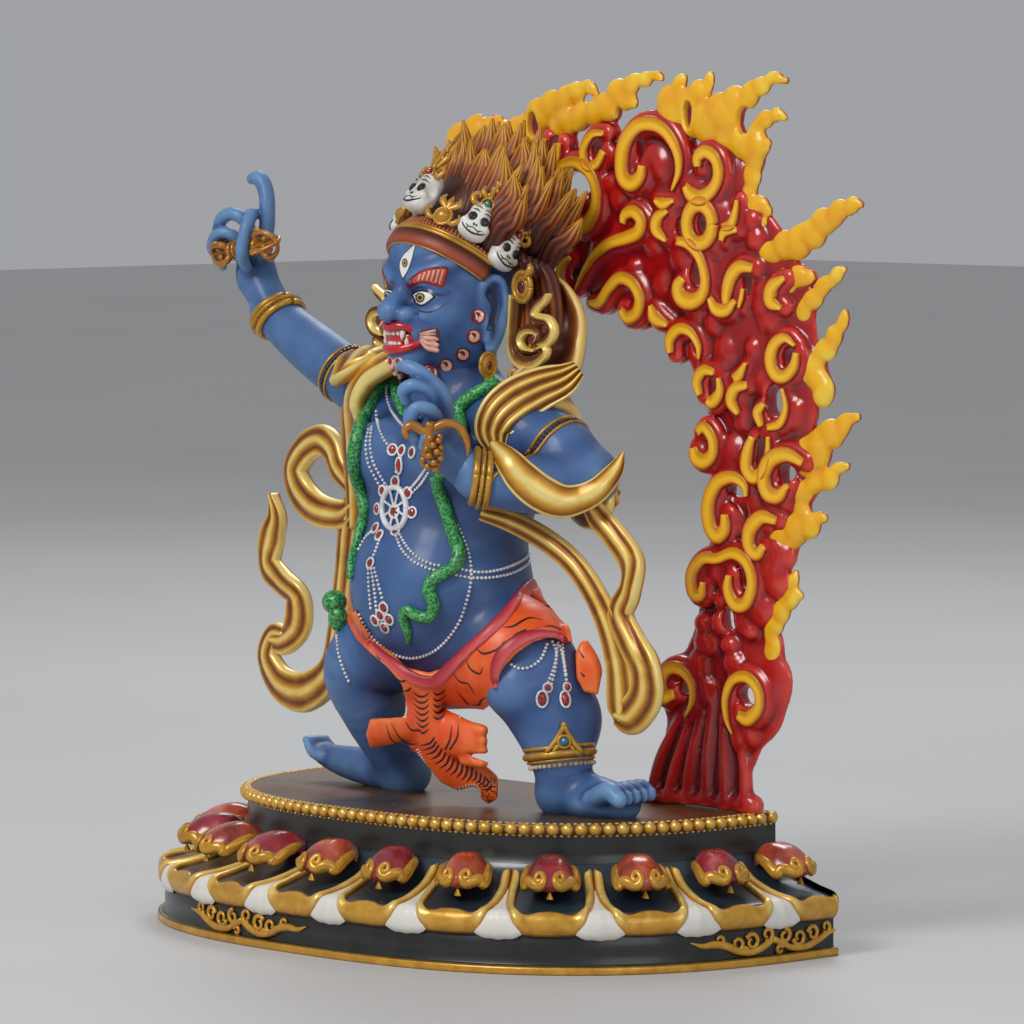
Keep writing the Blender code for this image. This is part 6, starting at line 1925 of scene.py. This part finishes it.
# Bead strands and gems over the trunk and thighs, read on the torso
TORSO_STRANDS = (
    [(300, 20), (300, 80), (320, 150), (350, 205), (382, 242)],
    [(246, 165), (250, 215), (265, 270), (290, 320), (314, 348)],
    [(206, 262), (192, 340), (204, 430), (240, 505), (268, 556)],
    [(222, 250), (214, 330), (228, 420), (262, 490), (302, 556)],
    [(502, 466), (462, 522), (420, 572)], [(516, 486), (480, 540), (438, 586)],
    [(372, 392), (378, 410)], [(350, 480), (362, 505)],
    [(232, 786), (190, 825), (155, 885)], [(262, 840), (244, 890), (226, 935)],
    [(206, 990), (208, 1080), (218, 1190)], [(222, 990), (236, 1090), (248, 1200)],
    [(236, 985), (258, 1070), (282, 1160)],
    [(350, 820), (380, 890), (440, 950), (520, 988), (545, 994)],
    [(368, 810), (410, 880), (470, 935), (540, 965), (570, 970)],
    [(690, 990), (760, 1004), (850, 1000), (940, 975), (1010, 935), (1052, 880), (1064, 800)],
    [(660, 1020), (740, 1034), (850, 1032), (950, 1010), (1030, 960), (1068, 890), (1078, 820)],
    [(645, 718), (690, 810), (722, 900), (736, 980), (736, 1050), (716, 1150), (680, 1260),
     (620, 1350), (540, 1420), (440, 1452), (350, 1436), (262, 1380), (196, 1305), (158, 1225)],
    [(950, 1490), (990, 1510), (1050, 1500), (1105, 1455), (1132, 1385)],
    [(1160, 1370), (1182, 1430), (1170, 1500), (1140, 1580)],
    [(1190, 1375), (1215, 1450), (1230, 1540)],
    [(40, 1340), (48, 1420), (70, 1500), (100, 1570)])
TORSO_GEMS = ((330, 365), (380, 370), (434, 380), (346, 532), (280, 580), (410, 590), (252, 674),
              (432, 693), (242, 776), (262, 814), (347, 787), (216, 958), (285, 1190), (240, 1255),
              (312, 1250), (268, 1228), (290, 1292))


def wheel_pendant(wheel, skin):
    """The wheel on the belly: an oval rim and eight spokes."""

    def rim_point(turn, share):
        spot = (343 + 62 * share * math.cos(turn), 672 + 112 * share * math.sin(turn))
        (px, py), = uncropped(TORSO_CROP, [spot])
        return skin.seen(px, py, .7)[0]

    turns = np.linspace(0, 2 * math.pi, 33)
    wheel.tube([rim_point(t, 1.0) for t in turns], [1.15] * 33, per_span=2)
    for k in range(4):
        t = math.pi * (k + .5) / 4
        wheel.tube([rim_point(t, .95), rim_point(t, .5), rim_point(t, 0.05), rim_point(t + math.pi, .5),
                    rim_point(t + math.pi, .95)], [.5] * 5, per_span=3)


def build_strands():
    skin = Ground("body", "tiger_skin")
    beads, gems, rims, wheel = Batch(), Batch(), Batch(), Batch()

    def run(rows, radius=.54, pitch=1.16, lift=.42, crop=TORSO_CROP):
        path = skin.lay(uncropped(crop, rows), lift)
        if len(path) > 2:
            strand(beads, path, radius * FINE ** .5, pitch * FINE)

    def gem(x, y, size=1.0, crop=TORSO_CROP, tall=1.0):
        (px, py), = uncropped(crop, [(x, y)])
        spot, normal = skin.seen(px, py, .5)
        if spot is None:
            return
        side = unit(np.cross(normal, (0, 0, 1)))
        up = np.cross(side, normal)
        rims.tube(circle(spot, side, up, 15, 2.0 * size, 2.0 * size * tall), [.48] * 15, per_span=2, sides=6)
        turn = np.stack([side, normal, up], 1)
        gems.ball(spot + normal * .2, (1.5 * size, .9, 1.5 * size * tall), turn, cuts=4)

    for rows in TORSO_STRANDS:
        run(rows)
    run([(1100, 310), (1095, 390), (1078, 470)], crop=LEGS_CROP)
    run([(1120, 310), (1130, 400), (1140, 470)], crop=LEGS_CROP)
    for x, y in TORSO_GEMS:
        gem(x, y)
    gem(366, 448, .9, tall=1.7)
    for x, y in ((1062, 486), (1140, 484)):
        gem(x, y, .8, LEGS_CROP)
    for x, y in ((1040, 532), (1133, 534)):
        gem(x, y, 1.0, LEGS_CROP, 1.5)

    wheel_pendant(wheel, skin)
    gem(341, 688, 1.25)
    pearl = flat_paint("pearl_white", (.55, .56, .60), (.90, .90, .90), .28, .3)
    beads.make("bead_strands", pearl)
    rims.make("gem_rims", pearl)
    wheel.make("wheel_pendant", pearl)
    gems.make("body_gems", flat_paint("gem_red", (.16, .005, .01), (.38, .012, .02), .15, .8, 60))


def build_cuffs():
    """Bracelets, armlets and the anklet with its crest."""
    work, dark, light = Batch(), Batch(), Batch()
    limbs = Ground("body", "left_foot")
    cuff(work, light, limbs, (-101.6, 16, 230.0), (-.72, 0, .69), 2.5)
    cuff(work, light, limbs, (44.2, -15.6, 176.4), (.62, .74, -.12), 2.4)
    for centre, axis in (((-63.5, 16, 208), (-.88, 0, .47)), ((55.5, 13, 184), (.86, .05, -.50))):
        axis = unit(axis)
        for shift, radius in ((-1.7, .62), (1.7, .62)):
            work.tube(hoop(limbs, np.array(centre) + axis * shift, axis, .3), [radius] * 49, per_span=1)
        strand(dark, hoop(limbs, centre, axis, .35), .8, 1.75)
    centre, axis = np.array([60.6, 9.4, 70.5]), unit((-.16, .02, 1))
    for shift, radius in ((1.6, 1.5), (4.2, .7), (-.6, .6)):
        work.tube(hoop(limbs, centre + axis * shift, axis, .9), [radius] * 49, per_span=1)
    strand(light, hoop(limbs, centre - axis * 2.4, axis, .8), .95, 2.0)
    for degrees in (8, 188):
        turn = math.radians(degrees - 46)
        out = unit((math.cos(turn), math.sin(turn), 0))
        side = unit(np.cross((0, 0, 1), out))
        foot = limbs.outward(centre + axis * 4, out, .8)[0]
        for s in (-1, 1):
            work.tube([foot + side * s * 6.5, foot + side * s * 3.4 + (0, 0, 3.6),
                       foot + (0, 0, 9.4) + out * .4],
                      [.8, 1.0, .9])
            work.tube([foot + side * s * 4, foot + side * s * 2.2 + (0, 0, 2.2), foot + (0, 0, 3.4)],
                      [.7, .8, .4])
        work.ball(foot + (0, 0, 9.6), (1.2, 1.2, 1.5), cuts=4)
        work.tube(circle(foot + out * .8 + UP * 3.8, side, UP, 17, 2.2), [.6] * 17, per_span=2)
        dark.ball(foot + out * .9 + (0, 0, 3.8), (1.7, 1.7, 1.7), cuts=4, mark=1.0)
    work.make("cuffs", gold("cuff_gold", deep=(.16, .05, .006), base=(.64, .34, .04), light=(.98, .74, .24)))
    light.make("cuff_beads", flat_paint("cuff_bead", (.30, .16, .06), (.74, .58, .36), .3, .3))
    dark.make("cuff_gems", palette("cuff_gem_paints", [(.05, .04, .05), (.03, .16, .26)], .2, .6))


def prongs(batch, tip, axis, reach, radius, count=4):
    """The open bulb at one end of a vajra: curved prongs round a centre spike, with small scrolls."""
    axis = unit(axis)
    first, second = square_to(axis)
    root = tip - axis * reach
    batch.tube([root, tip - axis * reach * .5, tip, tip + axis], [1.4, 1.1, 1.2, .3])
    for k in range(count):
        t = 2 * math.pi * k / count + .5
        out = first * math.cos(t) + second * math.sin(t)
        prong = [tip - axis * reach * down + out * radius * wide for down,
                 wide in ((.86, .9), (.45, 1), (.12, .55))]
        batch.tube([root, *prong, tip + out * .2], [1.3, 1.35, 1.1, .9, .9])
        batch.ball(tip - axis * reach * .5 + out * radius * .45, (1.3, 1.3, 1.3), cuts=3)
        batch.tube([tip - axis * reach * .9 + out * radius, tip - axis * reach * .72 + out * (radius + 1.7),
                    tip - axis * reach * .5 + out * (radius + .9)], [.5, .8, .5])
    batch.tube(circle(root, first, second, 17, 2.6), [.9] * 17, per_span=2)


VIEW_RIGHT_FLAT = unit((0.695, 0.719, 0.0))


def build_attributes():
    """The vajra in the right hand, and the hook with its bunch of cord in the left."""
    vajra = Batch()
    centre, axis = np.array([-110.5, 6.5, 255.0]), unit((1.0, 0.0, 0.14))
    vajra.tube([centre - axis * 8, centre, centre + axis * 8], [2.2, 3.0, 2.2])
    for side in (-1, 1):
        for place in (4.5, 7.0):
            vajra.tube(circle(centre + axis * side * place, *square_to(axis), 17, 2.7), [.9] * 17, per_span=2)
        prongs(vajra, centre + axis * side * 18.4, axis * side, 11, 5.2)
    paint = gold("relic_gold", deep=(.10, .03, .008), base=(.50, .21, .030), light=(.95, .66, .24),
                 hollow=-.4, proud=.5)
    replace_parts(vajra.make("vajra_prongs", paint), "vajra")
    hook = Batch()
    centre, axis = np.array([40.5, -38.5, 188.0]), unit((.1, 0, 1))
    hook.tube([centre - axis * 6, centre, centre + axis * 8], [2.0, 2.4, 1.8])
    for k in range(26):
        t = 2.4 * k
        height = -9.5 + .5 * k
        reach = 3.9 - .07 * k
        spot = centre + axis * height + np.array([math.cos(t), math.sin(t), 0]) * reach * (1 if k > 3 else .6)
        hook.ball(spot + VIEW_RIGHT_FLAT * 1.6, (1.35, 1.35, 1.35), cuts=3)
    for points, sizes in (([(-1, 4), (-6, 6.5), (-8.6, 4.6), (-7.4, 1.6)], [1.8, 1.9, 1.5, .8]),
                          ([(1, 5), (6, 7.2), (11, 6), (14, .5), (14.2, -5)], [1.7, 1.8, 1.6, 1.2, .25])):
        hook.tube([centre + VIEW_RIGHT_FLAT * across + UP * rise for across, rise in points], sizes)
    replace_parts(hook.make("hook_and_cord", paint), "noose_hook")


# Tiger stripes, stitched edges and speckles, painted on the skirt

def paint_skirt():
    hide = Ground("tiger_skin")
    paint = Batch()

    def stroke(rows, tint, widths=None):
        widths = widths or [.12, .42, .36, .1][:len(rows)]
        while len(widths) < len(rows):
            widths.insert(1, .42)
        paint_stroke(paint, hide, uncropped(LEGS_CROP, rows), widths, tint, .16)

    for rows in ([(880, 236), (920, 232), (985, 198), (1042, 206)],
                 [(770, 325), (800, 345), (852, 328), (886, 292)], [(896, 300), (930, 268), (975, 246)],
                 [(728, 372), (745, 408), (782, 428), (796, 402)],
                 [(668, 418), (700, 460), (735, 470), (762, 512)], [(690, 500), (722, 540), (735, 556)],
                 [(745, 556), (778, 556), (790, 536), (812, 524)], [(1045, 148), (1075, 150), (1100, 168)],
                 [(1036, 90), (1062, 96), (1086, 112)], [(1050, 232), (1085, 232), (1118, 246)],
                 [(296, 248), (312, 284), (330, 272)], [(356, 352), (372, 366), (386, 362)],
                 [(440, 446), (462, 460), (486, 448)], [(470, 500), (488, 496), (500, 484)],
                 [(396, 636), (420, 700), (470, 735), (520, 738)],
                 [(418, 632), (452, 690), (490, 716), (532, 716)], [(478, 626), (500, 658), (540, 662)],
                 [(696, 632), (690, 690), (660, 740)], [(668, 640), (660, 700), (640, 740)],
                 [(1192, 330), (1212, 362)], [(1196, 420), (1216, 440)],
                 [(240, 480), (252, 500), (262, 540)]):
        stroke(rows, 1)
    for k in range(7):
        y = 500 + 25 * k
        stroke([(505 + 3 * k, y), (530 + 2 * k, y + 20), (556, y + 20), (574, y + 4)], 1)
        if k < 5:
            stroke([(590, y + 2), (606, y + 14), (628, y + 6), (640, y - 10)], 1)
    spine = np.array([(560, 690), (590, 740), (640, 790), (700, 826), (760, 850), (806, 880), (824, 930)],
                     dtype=float)
    along = flat_path(spine, [1] * len(spine), 3)[:, :2]
    side = unit(np.gradient(along, axis=0)[:, ::-1] * (1, -1))
    for k in range(1, 17):
        middle, out = along[k], side[k]
        reach = 44 if k < 12 else 30
        stroke([tuple(middle - out * reach * .8), tuple(middle + (6, 8)), tuple(middle + out * reach * .7)],
               1)
    for edge in ([(326, 372), (400, 424), (452, 476), (478, 560), (474, 606)],
                 [(700, 606), (780, 590), (838, 536), (850, 506)],
                 [(528, 740), (576, 826), (660, 900), (760, 888), (790, 946)],
                 [(262, 330), (300, 352), (326, 372)]):
        run = flat_path(edge, [1] * len(edge), 8)[:, :2]
        lean = unit(np.gradient(run, axis=0)[:, ::-1] * (1, -1))
        for spot, out in zip(run, lean):
            stroke([tuple(spot - out * 7), tuple(spot + out * 7)], 0, [.3, .25])
    rng = np.random.default_rng(3)
    for _ in range(60):
        x, y = rng.uniform((775, 850), (850, 955))
        stroke([(x, y), (x + 5, y + 4)], 1, [.25, .2])
    paint.make("skirt_paint", palette("skirt_paints", [(.86, .70, .62), (.030, .008, .006)], .45, .1))


def build_setting():
    """Pale floor, soft studio light and the camera at the photo's angle."""
    floor_mesh = bpy.data.meshes.new("floor")
    reach = 6.0
    floor_mesh.from_pydata([(-reach, -reach, 0), (reach, -reach, 0), (reach, reach, 0), (-reach, reach, 0)],
                           [], [(0, 1, 2, 3)])
    look = Look("floor", 0.6)
    look.colour(look.ramp(look.noise(3.0, 2.0), [(0.3, (.60, .60, .60)), (0.7, (.64, .64, .64))]))
    floor_mesh.materials.append(look.material)
    floor = bpy.data.objects.new("floor", floor_mesh)
    bpy.context.scene.collection.objects.link(floor)
    world = bpy.data.worlds.new("studio")
    bpy.context.scene.world = world
    world.use_nodes = True
    world.node_tree.nodes["Background"].inputs["Color"].default_value = (0.78, 0.80, 0.83, 1)
    world.node_tree.nodes["Background"].inputs["Strength"].default_value = 0.45
    for name, spot, size, power, tint in (("key", (0.1, -1.5, 1.4), 0.7, 18, (1, .98, .95)),
                                          ("fill", (1.9, -0.6, 0.9), 1.0, 5, (.96, .98, 1)),
                                          ("rim", (-0.9, 1.1, 1.4), 0.8, 9, (1, 1, 1))):
        light = bpy.data.lights.new(name, "AREA")
        light.size = size
        light.energy = power
        light.color = tint
        lamp = bpy.data.objects.new(name, light)
        lamp.location = spot
        lamp.rotation_euler = (Vector((0, 0, 0.15)) - Vector(spot)).to_track_quat("-Z", "Y").to_euler()
        bpy.context.scene.collection.objects.link(lamp)
    camera_data = bpy.data.cameras.new("camera")
    camera_data.sensor_width = 36.0
    camera_data.lens = 221.5
    camera = bpy.data.objects.new("camera", camera_data)
    bpy.context.scene.collection.objects.link(camera)
    camera.matrix_world = Matrix.Translation(EYE * MM) @ VIEW_TURN.to_4x4()
    bpy.context.scene.camera = camera
    bpy.context.scene.view_settings.view_transform = "Standard"


build_pedestal()
build_body()
build_hair()
build_scarf()
build_skirt()
build_aureole()
build_mouth()
paint_face()
build_crown()
build_snakes()
build_strands()
build_cuffs()
build_attributes()
paint_skirt()
build_setting()
